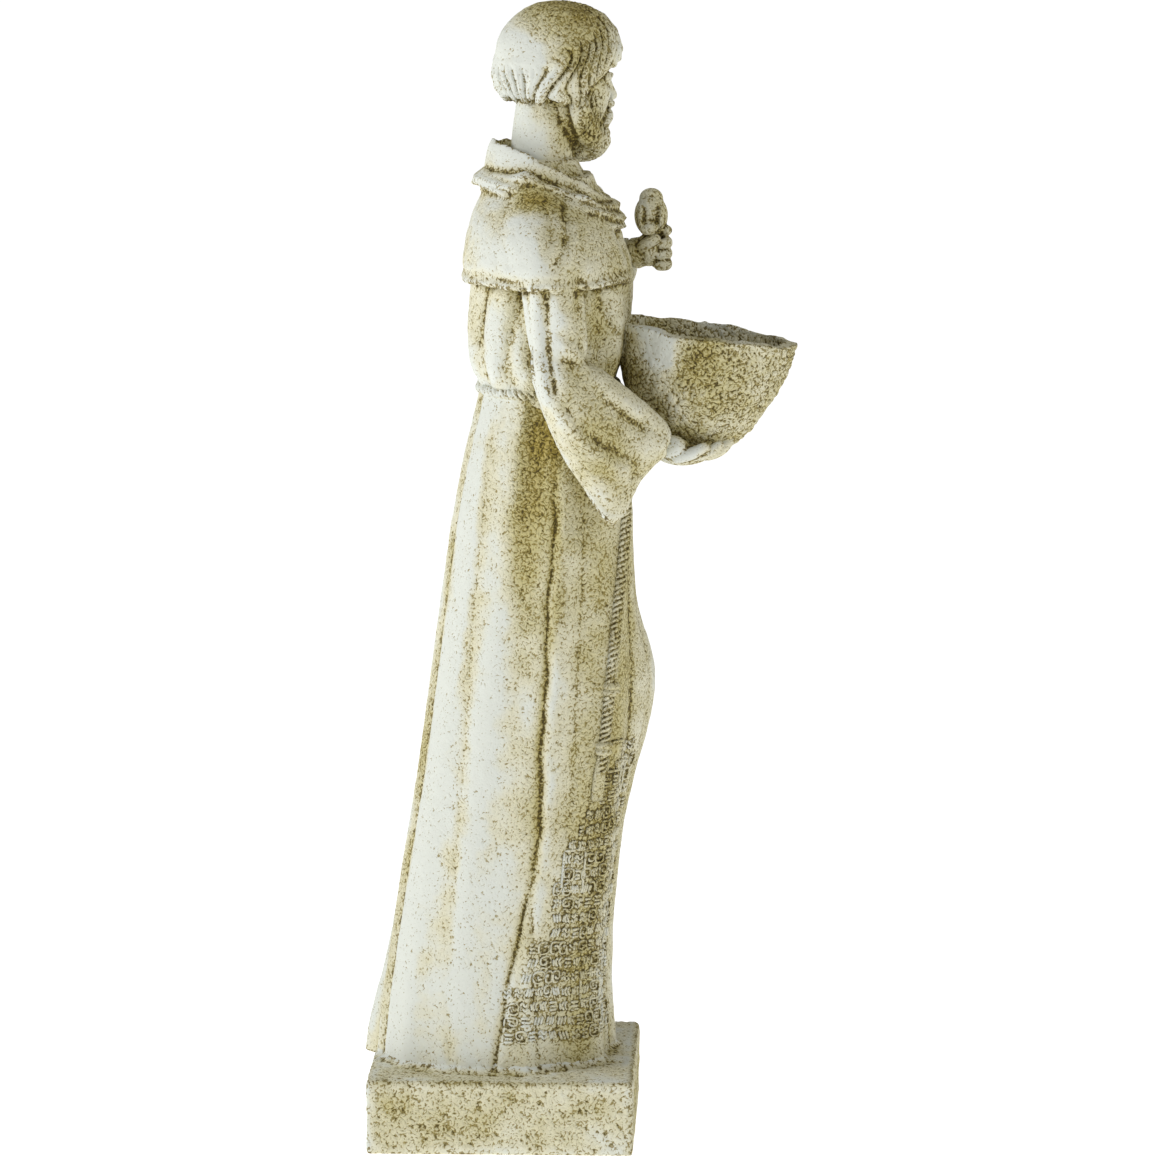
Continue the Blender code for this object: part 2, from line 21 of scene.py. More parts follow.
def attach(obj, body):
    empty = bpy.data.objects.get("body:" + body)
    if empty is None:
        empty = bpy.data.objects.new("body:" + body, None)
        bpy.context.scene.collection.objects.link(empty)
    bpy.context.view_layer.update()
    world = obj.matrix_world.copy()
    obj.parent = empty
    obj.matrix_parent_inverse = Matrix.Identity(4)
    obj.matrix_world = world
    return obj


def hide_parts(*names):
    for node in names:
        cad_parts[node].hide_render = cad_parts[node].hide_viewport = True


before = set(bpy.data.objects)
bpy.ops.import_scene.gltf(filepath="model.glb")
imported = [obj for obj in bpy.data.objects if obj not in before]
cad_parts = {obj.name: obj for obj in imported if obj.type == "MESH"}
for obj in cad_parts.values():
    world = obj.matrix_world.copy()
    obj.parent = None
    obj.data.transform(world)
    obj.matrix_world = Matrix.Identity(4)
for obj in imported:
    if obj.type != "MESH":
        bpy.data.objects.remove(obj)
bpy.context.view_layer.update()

NODE = "saint_francis_statue"

# Plinth and figure, as the frame has them
PLINTH_LENGTH = 0.196
PLINTH_WIDTH = 0.196
PLINTH_HEIGHT = 0.055
PLINTH_EDGE = 0.003
FIGURE_HEIGHT = 0.785
CARVING_UNITS = 785.0  # carving is given in 1/785 of the figure's height, 1 mm at this size
UNIT = FIGURE_HEIGHT / CARVING_UNITS
MM = 0.001

# Bowl
BOWL_LENGTH = 0.131
BOWL_WIDTH = 0.106
BOWL_HEIGHT = 0.094
BOWL_WALL = 0.009
BOWL_FLOOR = 0.026
BOWL_TILT = math.radians(8.0)

# Spacing of the fused clay's points, coarser while other things are worked on
COARSE = 1.0
BODY_GRID = 1.5 * MM * COARSE
HEAD_GRID = 0.9 * MM * COARSE
HAND_GRID = 0.85 * MM * COARSE
BOWL_GRID = 1.1 * MM * COARSE
PLINTH_GRID = 1.35 * MM * COARSE

# Camera and light
CAMERA_TARGET = Vector((0, -0.056, 0.413))
CAMERA_DISTANCE = 4.5
CAMERA_RISE = math.radians(9.5)
CAMERA_YAW = math.radians(2.0)  # from the figure's right, towards its front
CAMERA_LENS = 188.7
SENSOR = 36.0


# Points, noise and smoothing


def spot(left, fore, up):
    """A point of the carving: to the figure's left, forward and above the plinth, in carving units."""
    return np.stack(
        np.broadcast_arrays(left * UNIT, -np.asarray(fore) * UNIT, PLINTH_HEIGHT + np.asarray(up) * UNIT),
        axis=-1,
    )


def eased(stations, up, spread=9.0):
    """The columns of a table of stations at these heights, with the corners rounded off."""
    table = np.array(stations, float)
    window = np.linspace(-spread, spread, 5)
    around = np.asarray(up, float)[..., None] + window
    return [np.interp(around, table[:, 0], column).mean(-1) for column in table.T[1:]]


def through(points, count):
    """That many points, evenly spaced, on a smooth curve through these."""
    given = np.array(points, float)
    padded = np.vstack([2 * given[0] - given[1], given, 2 * given[-1] - given[-2]])
    place = np.linspace(0, len(given) - 1, count)
    first = np.minimum(place.astype(int), len(given) - 2)
    t = (place - first)[:, None]
    a, b, c, d = (padded[first + k] for k in range(4))
    return 0.5 * (2 * b + (c - a) * t + (2 * a - 5 * b + 4 * c - d) * t**2 + (3 * b - a - 3 * c + d) * t**3)


def scattered(cell, seed):
    """A steady pseudo-random number from 0 to 1 for each whole-numbered cell."""
    mixed = cell[..., 0] * 73856093 ^ cell[..., 1] * 19349663 ^ cell[..., 2] * 83492791 ^ seed * 2654435
    mixed = (mixed ^ (mixed >> 13)) * 1274126177
    return ((mixed ^ (mixed >> 16)) & 0xFFFF) / 65535.0


def lumps(points, size, seed=0, octaves=1):
    """Smooth noise from -1 to 1, with lumps of about that size."""
    total = np.zeros(len(points))
    for octave in range(octaves):
        grid = points / (size / 2**octave) + 11.7 * (seed + octave)
        cell = np.floor(grid).astype(np.int64)
        t = grid - cell
        t = t * t * (3 - 2 * t)
        value = np.zeros(len(points))
        for corner in itertools.product((0, 1), repeat=3):
            share = np.prod(np.where(np.array(corner) == 1, t, 1 - t), axis=1)
            value += share * scattered(cell + np.array(corner), seed + octave)
        total += (value * 2 - 1) / 2**octave
    return total


def pebbles(points, size, seed=0):
    """Rounded cells of about that size: 1 at a cell's middle, falling to 0 along its rim."""
    grid = points / size
    cell = np.floor(grid).astype(np.int64)
    nearest = np.full(len(points), 9.0)
    second = np.full(len(points), 9.0)
    for step in itertools.product((-1, 0, 1), repeat=3):
        there = cell + np.array(step)
        seat = np.stack([scattered(there, seed + k) for k in range(3)], axis=1)
        gap = np.linalg.norm(there + seat - grid, axis=1)
        second = np.minimum(second, np.maximum(gap, nearest))
        nearest = np.minimum(nearest, gap)
    return np.clip((second - nearest) * 1.6, 0, 1)


def smoothstep(low, high, value):
    t = np.clip((value - low) / (high - low), 0, 1)
    return t * t * (3 - 2 * t)


def ridge(offset, width):
    return np.exp(-((offset / width) ** 2))


def groove(offset, width):
    """Narrower at its bottom than a ridge is at its crest, as folded cloth is."""
    return np.exp(-np.abs(offset / width) ** 1.3)


# Objects and clay forms


def add_object(name, data):
    made = bpy.data.objects.new(name, data)
    bpy.context.scene.collection.objects.link(made)
    return made


def put(clay, form):
    """Adds one finished form to the clay."""
    mesh = bpy.data.meshes.new("form")
    form.to_mesh(mesh)
    form.free()
    clay.from_mesh(mesh)
    bpy.data.meshes.remove(mesh)


def column(clay, around, along, place):
    """A closed cylinder whose points are moved to place(turn, rise): turn in radians, rise from 0 to 1."""
    form = bmesh.new()
    bmesh.ops.create_cone(form, cap_ends=True, segments=around, radius1=1, radius2=1, depth=1)
    upright = [e for e in form.edges if abs(e.verts[0].co.z - e.verts[1].co.z) > 0.5]
    bmesh.ops.subdivide_edges(form, edges=upright, cuts=along - 1)
    unit = np.array([v.co for v in form.verts])
    moved = place(np.arctan2(unit[:, 1], unit[:, 0]), unit[:, 2] + 0.5)
    for vertex, co in zip(form.verts, moved.tolist()):
        vertex.co = co
    put(clay, form)


def ball(clay, centre, radii, turned=None, fine=32):
    """An ellipsoid at a point in metres, with its half sizes in carving units."""
    form = bmesh.new()
    size = Matrix.Diagonal([r * UNIT for r in radii] + [1])
    turn = (turned or Matrix.Identity(3)).to_4x4()
    bmesh.ops.create_uvsphere(
        form,
        u_segments=fine,
        v_segments=fine * 2 // 3,
        radius=1,
        matrix=Matrix.Translation(Vector(centre)) @ turn @ size,
    )
    put(clay, form)


def limb(clay, points, radii, upward=(0, 0, 1), around=16, along=24, flat=1.0, blunt=6):
    """A round-ended tube through points in metres. Its radii, in carving units, are spaced evenly along
    it, and flat is the share of the radius that it has in the direction of upward."""
    path = through(points, along * 4 + 1)
    radius = through([[r * UNIT] for r in radii], along * 4 + 1)[:, 0]
    tangent = np.gradient(path, axis=0)
    tangent /= np.linalg.norm(tangent, axis=1, keepdims=True)
    side = np.cross(tangent, np.array(upward, float))
    side /= np.linalg.norm(side, axis=1, keepdims=True)
    normal = np.cross(side, tangent)

    def place(turn, rise):
        at = np.rint(rise * (len(path) - 1)).astype(int)
        end = np.sqrt(np.maximum(1 - np.abs(2 * rise - 1) ** blunt, 0.004))
        out = np.cos(turn)[:, None] * side[at] + flat * np.sin(turn)[:, None] * normal[at]
        return path[at] + out * (radius[at] * end)[:, None]

    column(clay, around, along, place)


# Skirt of the robe, in carving units: height, back, front and half width

SKIRT = [
    (-10, -94, 82, 71),
    (15, -92, 80, 72),
    (50, -89, 78, 71),
    (92, -83, 79, 70),
    (145, -75, 84, 69),
    (199, -66, 88, 68),
    (252, -58, 92, 68),
    (305, -51, 94, 67),
    (357, -44, 96, 66),
    (402, -38, 96, 65),
    (447, -30, 93, 64),
    (484, -21, 87, 60),
    (508, -16, 83, 57),
]
BELT = 503
SKIRT_FOOT = -4

# Folds: direction in degrees from the front to the figure's right, at the belt and at the hem, then
# height (less than 0 for a groove) at the belt and at the hem, and half width in degrees
SKIRT_FOLDS = [
    (14, 8, -1, -7, 8),
    (26, 26, 1, 3, 8),
    (60, 56, -3, -2, 10),
    (70, 70, 1.5, 2.5, 6),
    (95, 98, -3.5, 0.8, 12),
    (112, 112, 1.5, 1.5, 9),
    (136, 112, -1.2, -1.2, 4.5),
    (137, 140, 1.5, 3, 9),
    (152, 154, 1, 1.2, 8),
    (160, 164, -1.0, -1.4, 3.5),
    (172, 172, 2, 3, 6),
    (180, 180, -2, -5, 5),
    (-167, -168, 2, 4, 6),
    (-150, -154, -3, -6, 5),
    (-132, -137, 2, 5, 13),
    (-112, -118, -2, -5, 6),
    (-97, -101, 2, 4, 8),
    (-80, -84, -5, -8, 5),
    (-64, -66, 3, 4, 8),
    (-47, -48, -4, -7, 6),
    (-24, -22, 2, 7, 9),
    (-6, -6, -1, -3, 6),
]
CRACK = [(150, 75.5), (200, 76.5), (250, 79), (345, 81.5), (452, 81)]  # a sharp fold line: height, direction
CRACK_DEPTH, CRACK_WIDTH = 2.2, 1.9
KNEE = (-20, 279, 21, 27)  # direction, height above the plinth, how far it presses out, half width
KNEE_ABOVE, KNEE_BELOW = 48, 78  # how far its slope runs up and down the robe
TRAIN = (-157, 15, 20)  # the hem trails at the back on the left: direction, reach, half width
TRAIN_HEIGHT = 55
PANEL_TOP = 150  # a gore opens below this height between two sharp edges
PANEL_APEX = 76
PANEL_EDGES = [(89, 2.6), (66, 1.6)]  # direction at the hem and depth of each edge
PLEATS = 30  # small gathers under the belt
PLEAT_DEPTH = 0.9
PLEAT_LENGTH = 36


def apart(turn, degrees):
    """How far a direction is from this one, in degrees, from -180 to 180."""
    return (np.degrees(turn) - degrees + 180) % 360 - 180


def fold_height(folds, turn, share):
    """The sum of the folds, where share is 0 at their foot and 1 at their head."""
    total = np.zeros_like(turn)
    for head, foot, head_height, foot_height, width in folds:
        centre = foot + (head - foot) * share + 1.6 * np.sin(share * 7 + head)
        height = foot_height + (head_height - foot_height) * share
        shape = groove if foot_height < 0 else ridge
        total += height * shape(apart(turn, centre), width)
    return total


def skirt_swell(turn, up):
    share = np.clip(up / BELT, 0, 1)
    total = fold_height(SKIRT_FOLDS, turn, share)
    direction, level, reach, width = KNEE
    slope = np.where(up > level, KNEE_ABOVE, KNEE_BELOW)
    total += reach * ridge(apart(turn, direction), width) * ridge(up - level, slope)
    direction, reach, width = TRAIN
    total += reach * ridge(apart(turn, direction), width) * ridge(np.maximum(up, 0), TRAIN_HEIGHT)
    levels, directions = np.array(CRACK, float).T
    line = np.interp(up, levels, directions) + 0.7 * np.sin(up / 17) + 0.5 * np.sin(up / 6.1)
    fading = smoothstep(levels[-1], levels[-1] - 60, up) * smoothstep(PANEL_TOP - 10, PANEL_TOP + 10, up)
    total -= CRACK_DEPTH * groove(apart(turn, line), CRACK_WIDTH) * fading
    total += 1.2 * ridge(apart(turn, line - 5), 3.5) * fading
    down = np.clip(1 - up / PANEL_TOP, 0, 1)
    for foot, depth in PANEL_EDGES:
        line = PANEL_APEX + (foot - PANEL_APEX) * down + 0.4 * np.sin(up / 9)
        total -= depth * np.minimum(down * 6, 1) * groove(apart(turn, line), 1.7)
    gathers = np.abs(np.sin(turn * PLEATS / 2)) * np.exp(-np.maximum(BELT - up, 0) / PLEAT_LENGTH)
    return total - PLEAT_DEPTH * gathers


def robe_point(stations, swell, turn, up):
    back, front, half = eased(stations, up)
    fore = (front + back) / 2 + ((front - back) / 2 + swell) * np.cos(turn)
    return spot(-(half + swell) * np.sin(turn), fore, up)


def on_skirt(degrees, up, proud=0.0):
    """A point that far off the skirt, in carving units."""
    turn = np.radians(np.asarray(degrees, float))
    up = np.asarray(up, float)
    return robe_point(SKIRT, skirt_swell(turn, up) + proud, turn, up)


SKIRT_AROUND = 330
NEAR_SIDE = 1.75  # direction in radians towards which the points lie closest together
CROWDING = 0.36


def add_skirt(clay):
    low, high = SKIRT_FOOT, BELT + 4

    def place(turn, rise):
        turn = turn - CROWDING * np.sin(turn - NEAR_SIDE)
        up = low + (high - low) * rise
        return robe_point(SKIRT, skirt_swell(turn, up), turn, up)

    around = int(SKIRT_AROUND / COARSE)
    column(clay, around, int(around * 0.89), place)


# Low strokes in rows on the robe's lower front: worn marks that spell nothing

STROKE_ROW = 11.0
STROKE_CELL = 8.0
STROKE_RADIUS = 1.0
STROKE_PROUD = 0.4
STROKE_TOP = [(0, 250), (12, 252), (30, 226), (48, 196), (60, 160), (66, 100), (74, 100), (84, 64), (86, 20)]
STROKE_FIRST, STROKE_LAST = 2, 85  # directions between which they lie
STROKE_FOOT = 17
SKIRT_ROUND = 74.0  # the skirt's mean radius, which turns a width into an angle
MARK_WIDE, MARK_TALL = 0.82, 0.78  # how much of its cell a mark fills
# Each mark's lines, in shares of its cell
MARKS = [
    [[(0.95, 0.1), (0.1, 0.1), (0.1, 0.9), (0.9, 0.9), (0.9, 0.4), (0.45, 0.4), (0.45, 0.65)]],
    [[(0.05, 0.9), (0.9, 0.9), (0.9, 0.1), (0.15, 0.1), (0.15, 0.6), (0.6, 0.6)]],
    [
        [(0.05, 0.25), (0.3, 0.5), (0.6, 0.2), (0.95, 0.45)],
        [(0.05, 0.65), (0.3, 0.9), (0.6, 0.6), (0.95, 0.85)],
    ],
    [[(0.1, 0.15), (0.35, 0.9)], [(0.4, 0.1), (0.62, 0.85)], [(0.7, 0.15), (0.95, 0.9)]],
    [[(0.05, 0.15), (0.95, 0.2)], [(0.1, 0.5), (0.9, 0.45)], [(0.05, 0.85), (0.95, 0.8)]],
    [
        [(0.1, 0.1), (0.3, 0.55), (0.1, 0.9)],
        [(0.45, 0.1), (0.65, 0.55), (0.45, 0.9)],
        [(0.85, 0.2), (0.9, 0.8)],
    ],
]
# Plain frames round a few marks: direction and height of the middle, half width and half height
STROKE_FRAMES = [(52, 150, 9, 15), (27, 232, 9, 11), (12, 150, 8, 12), (34, 60, 9, 10), (14, 216, 8, 9)]


def add_stroke(clay, line):
    """One raised line over the skirt, through points given as distance round it and height."""
    path = through(line, 3 * len(line))
    degrees = np.degrees(path[:, 0] / SKIRT_ROUND)
    seats = on_skirt(degrees, path[:, 1], STROKE_PROUD)
    middle = math.radians(degrees[len(degrees) // 2])
    outward = (-math.sin(middle), -math.cos(middle), 0.01)
    size = STROKE_RADIUS
    limb(clay, seats, (size, size), upward=outward, around=6, along=3 * len(line), blunt=12)


def add_strokes(clay):
    table = np.array(STROKE_TOP, float)
    first, last = (math.radians(d) * SKIRT_ROUND for d in (STROKE_FIRST, STROKE_LAST))
    for row in range(int(STROKE_FOOT / STROKE_ROW), 24):
        across = first + 3 * math.sin(row * 2.1)
        number = 0
        while across < last:
            key = np.array([number, row, 3])
            wide = STROKE_CELL * (0.75 + 0.5 * float(scattered(key, 5)))
            degrees = math.degrees((across + wide / 2) / SKIRT_ROUND)
            base = row * STROKE_ROW + 1.5 * math.sin(across / 11)
            top = float(np.interp(degrees, table[:, 0], table[:, 1]))
            if base + STROKE_ROW * 0.8 < top and base >= STROKE_FOOT - 4:
                mark = MARKS[int(float(scattered(key, 9)) * (len(MARKS) - 0.01))]
                flip = float(scattered(key, 13)) < 0.5
                for line in mark:
                    shares = [(1 - x if flip else x, y) for x, y in line]
                    wide_drawn, tall_drawn = wide * MARK_WIDE, STROKE_ROW * MARK_TALL
                    add_stroke(clay, [(across + x * wide_drawn, base + y * tall_drawn) for x, y in shares])
            across += wide
            number += 1
    for degrees, up, half, tall in STROKE_FRAMES:
        middle = math.radians(degrees) * SKIRT_ROUND
        corners = [(-half, -tall), (half, -tall), (half, tall), (-half, tall), (-half, -tall)]
        for (x0, y0), (x1, y1) in zip(corners, corners[1:]):
            between = ((x0 + x1) / 2, (y0 + y1) / 2)
            add_stroke(clay, [(middle + x, up + y) for x, y in ((x0, y0), between, (x1, y1))])


# Blouse over the belt, and the cape, in the same columns as the skirt and its folds

BLOUSE = [
    (486, -14, 78, 54),
    (503, -14, 80, 56),
    (515, -23, 86, 63),
    (530, -26, 91, 66),
    (560, -26, 95, 67),
    (590, -24, 96, 67),
    (625, -16, 84, 60),
    (660, 0, 64, 40),
]
CAPE_HEM = 584
CAPE = [
    (584, -30, 95, 95),
    (592, -32, 96, 97),
    (606, -30, 90, 96),
    (622, -27, 83, 91),
    (634, -23, 77, 81),
    (644, -18, 72, 67),
    (652, -13, 66, 53),
    (662, -8, 58, 41),
    (672, -4, 52, 30),
]
BLOUSE_FOLDS = [
    (12, 6, -2, -3, 7),
    (34, 28, 2, 3, 8),
    (52, 50, -3, -3, 7),
    (112, 118, -2, -3, 6),
    (128, 132, 2, 4, 8),
    (142, 148, -2, -3, 6),
    (160, 164, 1, 3, 8),
    (178, 180, -1, -3, 6),
    (-160, -164, 1, 3, 8),
    (-140, -146, -2, -4, 6),
    (-120, -124, 2, 3, 8),
    (-52, -50, -2, -3, 7),
    (-32, -30, 2, 3, 8),
    (-14, -12, -2, -3, 7),
]
CAPE_FOLDS = [
    (6, 10, -1, -3, 6),
    (22, 24, 1, 3, 7),
    (38, 42, -1, -2, 7),
    (60, 66, -1.5, -1.5, 9),
    (88, 90, 2, 5, 13),
    (118, 122, -1, -2, 8),
    (150, 146, 1, 2, 12),
    (178, 178, -1, -2, 9),
    (-150, -144, 1, 3, 10),
    (-122, -120, -1, -3, 8),
    (-90, -90, 2, 5, 13),
    (-62, -66, -3, -4, 6),
    (-40, -42, 1, 3, 7),
    (-18, -20, -1, -3, 6),
]


def blouse_point(turn, up):
    share = np.clip((up - BELT) / (CAPE_HEM - BELT), 0, 1)
    swell = fold_height(BLOUSE_FOLDS, turn, share) * np.clip((up - BELT) / 12, 0, 1)
    return robe_point(BLOUSE, swell, turn, up)


def cape_point(turn, up):
    share = np.clip((up - CAPE_HEM) / (CAPE[-1][0] - CAPE_HEM), 0, 1)
    level = up - 0.6 * np.sin(turn * 7 + 1) * (1 - share) ** 3
    back, front, half = eased(CAPE, up)
    swell = fold_height(CAPE_FOLDS, turn, share)
    swell = swell + 1.3 * ridge(up - CAPE_HEM - 2.2, 2.4) - 0.8 * ridge(up - CAPE_HEM - 8, 2.4)
    fore = (front + back) / 2 + ((front - back) / 2 + swell) * np.cos(turn)
    return spot(-(half + swell) * np.sin(turn), fore, level)


def add_upper_robe(clay):
    low, high = BLOUSE[0][0], BLOUSE[-1][0]
    column(clay, 240, 90, lambda turn, rise: blouse_point(turn, low + (high - low) * rise))
    bottom, top = CAPE_HEM, CAPE[-1][0]
    column(clay, 300, 80, lambda turn, rise: cape_point(turn, bottom + (top - bottom) * rise))


# Cowl: a thin standing collar round the neck, and a loose hood that is rolled behind it and drapes
# in folds towards the front. Each band has its middle, half length and half width, mid height, rise
# towards the back and towards the sides, half thickness and half height, then how far its top leans
# out, how uneven its edges are and how deep its folds are.
COWL = [
    (34, 44, 41, 652, 21, 7, 2.8, 12, -2, 0.5, 0.0),
    (34, 49, 52, 644, 15, 4, 4.5, 9.5, -4, 1.3, 1.9),
    (36, 46, 58, 634, 18, 2, 4.0, 6.5, -3, 1.5, 0.9),
]


def add_cowl(clay):
    for number, band in enumerate(COWL):
        middle, length, width, level, rise, side_rise, thick, tall, lean, wild, fold = band

        def place(section, along):
            turn = along * math.tau
            edge = np.sin(section)
            waver = np.sin(turn * 3 + number * 2) + 0.7 * np.sin(turn * 7 + number)
            waver = waver + 0.5 * np.sin(turn * 13 + 2)
            rolled = smoothstep(-0.2, -0.9, np.cos(turn))
            gathered = rolled * (number > 0)
            high = tall * (1 - 0.38 * gathered) * (1 + 0.04 * waver)
            squared = np.sign(np.cos(section)) * np.abs(np.cos(section)) ** 0.75
            out = thick * (1 + 0.5 * gathered) * squared
            out = out + lean * edge + 0.4 * wild * np.sin(turn * 9 + edge * 2 + number)
            out = out + fold * (1 - 0.6 * rolled) * np.cos(edge * 7.2 + 0.5 * waver) * (np.cos(section) > 0)
            fore = middle + (length + out) * np.cos(turn)
            left = -(width + out) * np.sin(turn)
            up = level - rise * np.cos(turn) + side_rise * np.sin(turn) ** 2 + high * edge
            return spot(left, fore, up + wild * waver * np.abs(edge))

        column(clay, 36, 220, place)


# Arms, as (left, fore, up)
RIGHT_SHOULDER, RIGHT_ELBOW, RIGHT_WRIST = (-70, 34, 616), (-83, 46, 522), (-44, 122, 466)
LEFT_SHOULDER, LEFT_ELBOW, LEFT_WRIST = (72, 22, 628), (86, 34, 520), (56, 92, 594)
UPPER_ARM = (23, 22, 21)
RIGHT_FOREARM = (21, 18, 13)
LEFT_FOREARM = (23, 18, 13)
# Each hanging sleeve: fore, middle to the left, top, bottom and half thickness
RIGHT_SLEEVE = [
    (24, -83, 542, 518, 12),
    (34, -85, 550, 488, 21),
    (46, -85, 546, 462, 22),
    (58, -84, 536, 444, 21),
    (70, -81, 524, 425, 19),
    (82, -76, 512, 409, 16),
    (92, -70, 501, 418, 14),
    (100, -64, 493, 438, 14),
    (110, -57, 485, 450, 15),
    (121, -48, 477, 459, 12),
]
LEFT_SLEEVE = [
    (18, 86, 530, 512, 12),
    (30, 88, 552, 488, 22),
    (44, 88, 566, 458, 22),
    (58, 84, 584, 440, 18),
    (70, 78, 596, 446, 16),
    (80, 70, 604, 520, 14),
    (90, 60, 606, 584, 12),
]


def add_sleeve(clay, stations):
    """A sleeve that hangs under the forearm: rounded above, and thinner towards its lower edge."""
    first, last = stations[0][0], stations[-1][0]

    def place(turn, rise):
        fore = first + (last - first) * rise
        middle, top, bottom, thick = eased(stations, fore, spread=3)
        height = np.sin(turn)
        narrow = np.where(height < 0, 1 - 0.45 * height**2, 1)
        up = (top + bottom) / 2 + (top - bottom) / 2 * height
        return spot(middle + thick * narrow * np.cos(turn), fore, up)

    column(clay, 80, 70, place)


def add_arms(clay):
    for shoulder, elbow, wrist, forearm in (
        (RIGHT_SHOULDER, RIGHT_ELBOW, RIGHT_WRIST, RIGHT_FOREARM),
        (LEFT_SHOULDER, LEFT_ELBOW, LEFT_WRIST, LEFT_FOREARM),
    ):
        limb(clay, [spot(*shoulder), spot(*elbow)], UPPER_ARM, upward=(0, 1, 0), around=32, along=24)
        limb(clay, [spot(*elbow), spot(*wrist)], forearm, around=32, along=24)
    add_sleeve(clay, RIGHT_SLEEVE)
    add_sleeve(clay, LEFT_SLEEVE)


# Creases that the side view shows. Points are (fore, up), then depth (less than 0 for a raised
# edge) and half width, in carving units. They mark only the side that faces the figure's right.
CREASES = [
    ([(19, 585), (22, 554), (24, 526), (28, 502)], 2.0, 4.0),
    ([(35, 584), (35, 559), (38, 535), (42, 513)], 2.6, 3.6),
    ([(27, 580), (28, 554), (31, 526), (35, 506)], -1.8, 5.0),
    ([(39, 552), (56, 526), (78, 505), (95, 492), (104, 483)], 1.0, 5.5),
    ([(48, 547), (64, 526), (84, 506), (100, 494)], -1.6, 5.0),
    ([(48, 504), (63, 485), (78, 472), (95, 461), (100, 448)], 1.4, 4.5),
    ([(44, 498), (60, 478), (76, 464), (90, 452)], -1.3, 5.0),
    ([(33, 494), (46, 468), (63, 440), (80, 422)], 1.1, 3.5),
    ([(29, 500), (41, 471), (58, 442), (78, 418)], -1.2, 3.5),
    ([(95, 474), (100, 459), (95, 437), (91, 419)], 1.1, 3.5),
    ([(36, 577), (42, 556), (59, 545)], 1.2, 4.0),
    ([(46, 643), (48, 624), (45, 611), (41, 600)], 1.3, 3.2),
    ([(52, 640), (55, 622), (52, 606)], -1.0, 4.0),
    ([(32, 645), (37, 633), (39, 620)], 1.0, 3.0),
    ([(56, 634), (67, 612), (73, 594)], 0.9, 4.0),
    ([(6, 643), (3, 623), (7, 603)], 0.8, 4.0),
    ([(-8, 582), (-12, 561), (-17, 539)], 1.8, 3.5),
    ([(5, 584), (3, 561), (2, 540)], -1.5, 5.0),
    ([(16, 585), (15, 567), (17, 546), (21, 524)], 1.8, 4.0),
    ([(58, 582), (59, 560), (63, 540)], 2.2, 3.6),
    ([(80, 578), (84, 570), (80, 562)], -1.8, 4.5),
    ([(70, 582), (76, 560), (86, 546)], 1.2, 3.5),
    ([(-28, 589), (10, 589), (48, 589), (92, 589)], 0.5, 1.8),
]


def crease(mesh, creases):
    """Presses or raises lines on the side of a mesh that faces the figure's right."""
    points, normals = points_of(mesh), normals_of(mesh)
    flat = np.stack([-points[:, 1] / UNIT, (points[:, 2] - PLINTH_HEIGHT) / UNIT], axis=1)
    facing = smoothstep(0.05, 0.5, -normals[:, 0]) * smoothstep(-0.012, -0.022, points[:, 0])
    push = np.zeros(len(points))
    for line, depth, width in creases:
        drawn = through(line, 8 * len(line))
        nearest = np.full(len(points), 1e9)
        for start, end in zip(drawn, drawn[1:]):
            step = end - start
            share = np.clip(((flat - start) @ step) / (step @ step), 0, 1)
            nearest = np.minimum(nearest, np.linalg.norm(flat - start - share[:, None] * step, axis=1))
        push -= depth * ridge(nearest, width)
    move_points(mesh, points + normals * (push * facing * UNIT)[:, None])


# Hands. The right palm lies under the bowl, with the fingers spread towards the front and the thumb
# up its side. The left hand is a loose fist with the first finger held out as a perch.
FINGER = (4.8, 4.6, 3.6)
PALM = (-20, 132, 456), (20, 20, 8.5)
BOWL_REST = (0, 78, 486), (34, 16, 22)
RIGHT_FINGERS = [
    [(-36, 138, 456), (-33, 152, 459), (-28, 162, 466)],
    [(-22, 146, 454), (-18, 159, 458), (-13, 169, 467)],
    [(-9, 147, 453), (-3, 160, 457), (3, 169, 466)],
    [(2, 142, 453), (11, 154, 457), (17, 162, 464)],
]
RIGHT_THUMB = [(-40, 124, 455), (-41, 139, 459), (-37, 152, 465)]
FIST = (52, 105, 598), (10.5, 10.5, 12.5)
LEFT_FINGERS = [
    [(57, 106, top), (57, 116, top), (49, 118, top - 1), (45, 109, top - 2)] for top in (604, 596, 588)
]
PERCH_FINGER = [(56, 105, 608), (54, 115, 612), (46, 121, 613)]
LEFT_THUMB = [(46, 98, 598), (42, 106, 605), (42, 114, 609)]


def add_fingers(clay, fingers):
    for finger in fingers:
        limb(clay, [spot(*joint) for joint in finger], FINGER, around=16, along=16)


def add_right_hand(clay):
    limb(clay, [spot(*RIGHT_WRIST), spot(*PALM[0])], (11, 11), flat=0.8)
    ball(clay, spot(*PALM[0]), PALM[1])
    add_fingers(clay, [*RIGHT_FINGERS, RIGHT_THUMB])


def add_bowl_rest(clay):
    """Fills the wedge between the bowl and the belly."""
    centre, radii = BOWL_REST
    ball(clay, spot(*centre), radii)


def add_left_hand(clay):
    ball(clay, spot(*FIST[0]), FIST[1])
    limb(clay, [spot(*LEFT_WRIST), spot(*FIST[0])], (12.5, 10.5))
    add_fingers(clay, [*LEFT_FINGERS, PERCH_FINGER, LEFT_THUMB])


# Bird, with its back to the figure's right
BIRD_BODY = (50, 107, 624), (12, 12.5, 16)
BIRD_HEAD = (53, 107, 636), (8.5, 9, 8)
BIRD_BEAK = [(60, 107, 637), (66, 107, 635)]
BIRD_TAIL = [(44, 106, 620), (33, 105, 612)]
BIRD_WING = [(50, 0, 634), (43, 0, 626), (36, 0, 614)]
BIRD_WING_SIDE = 7.5


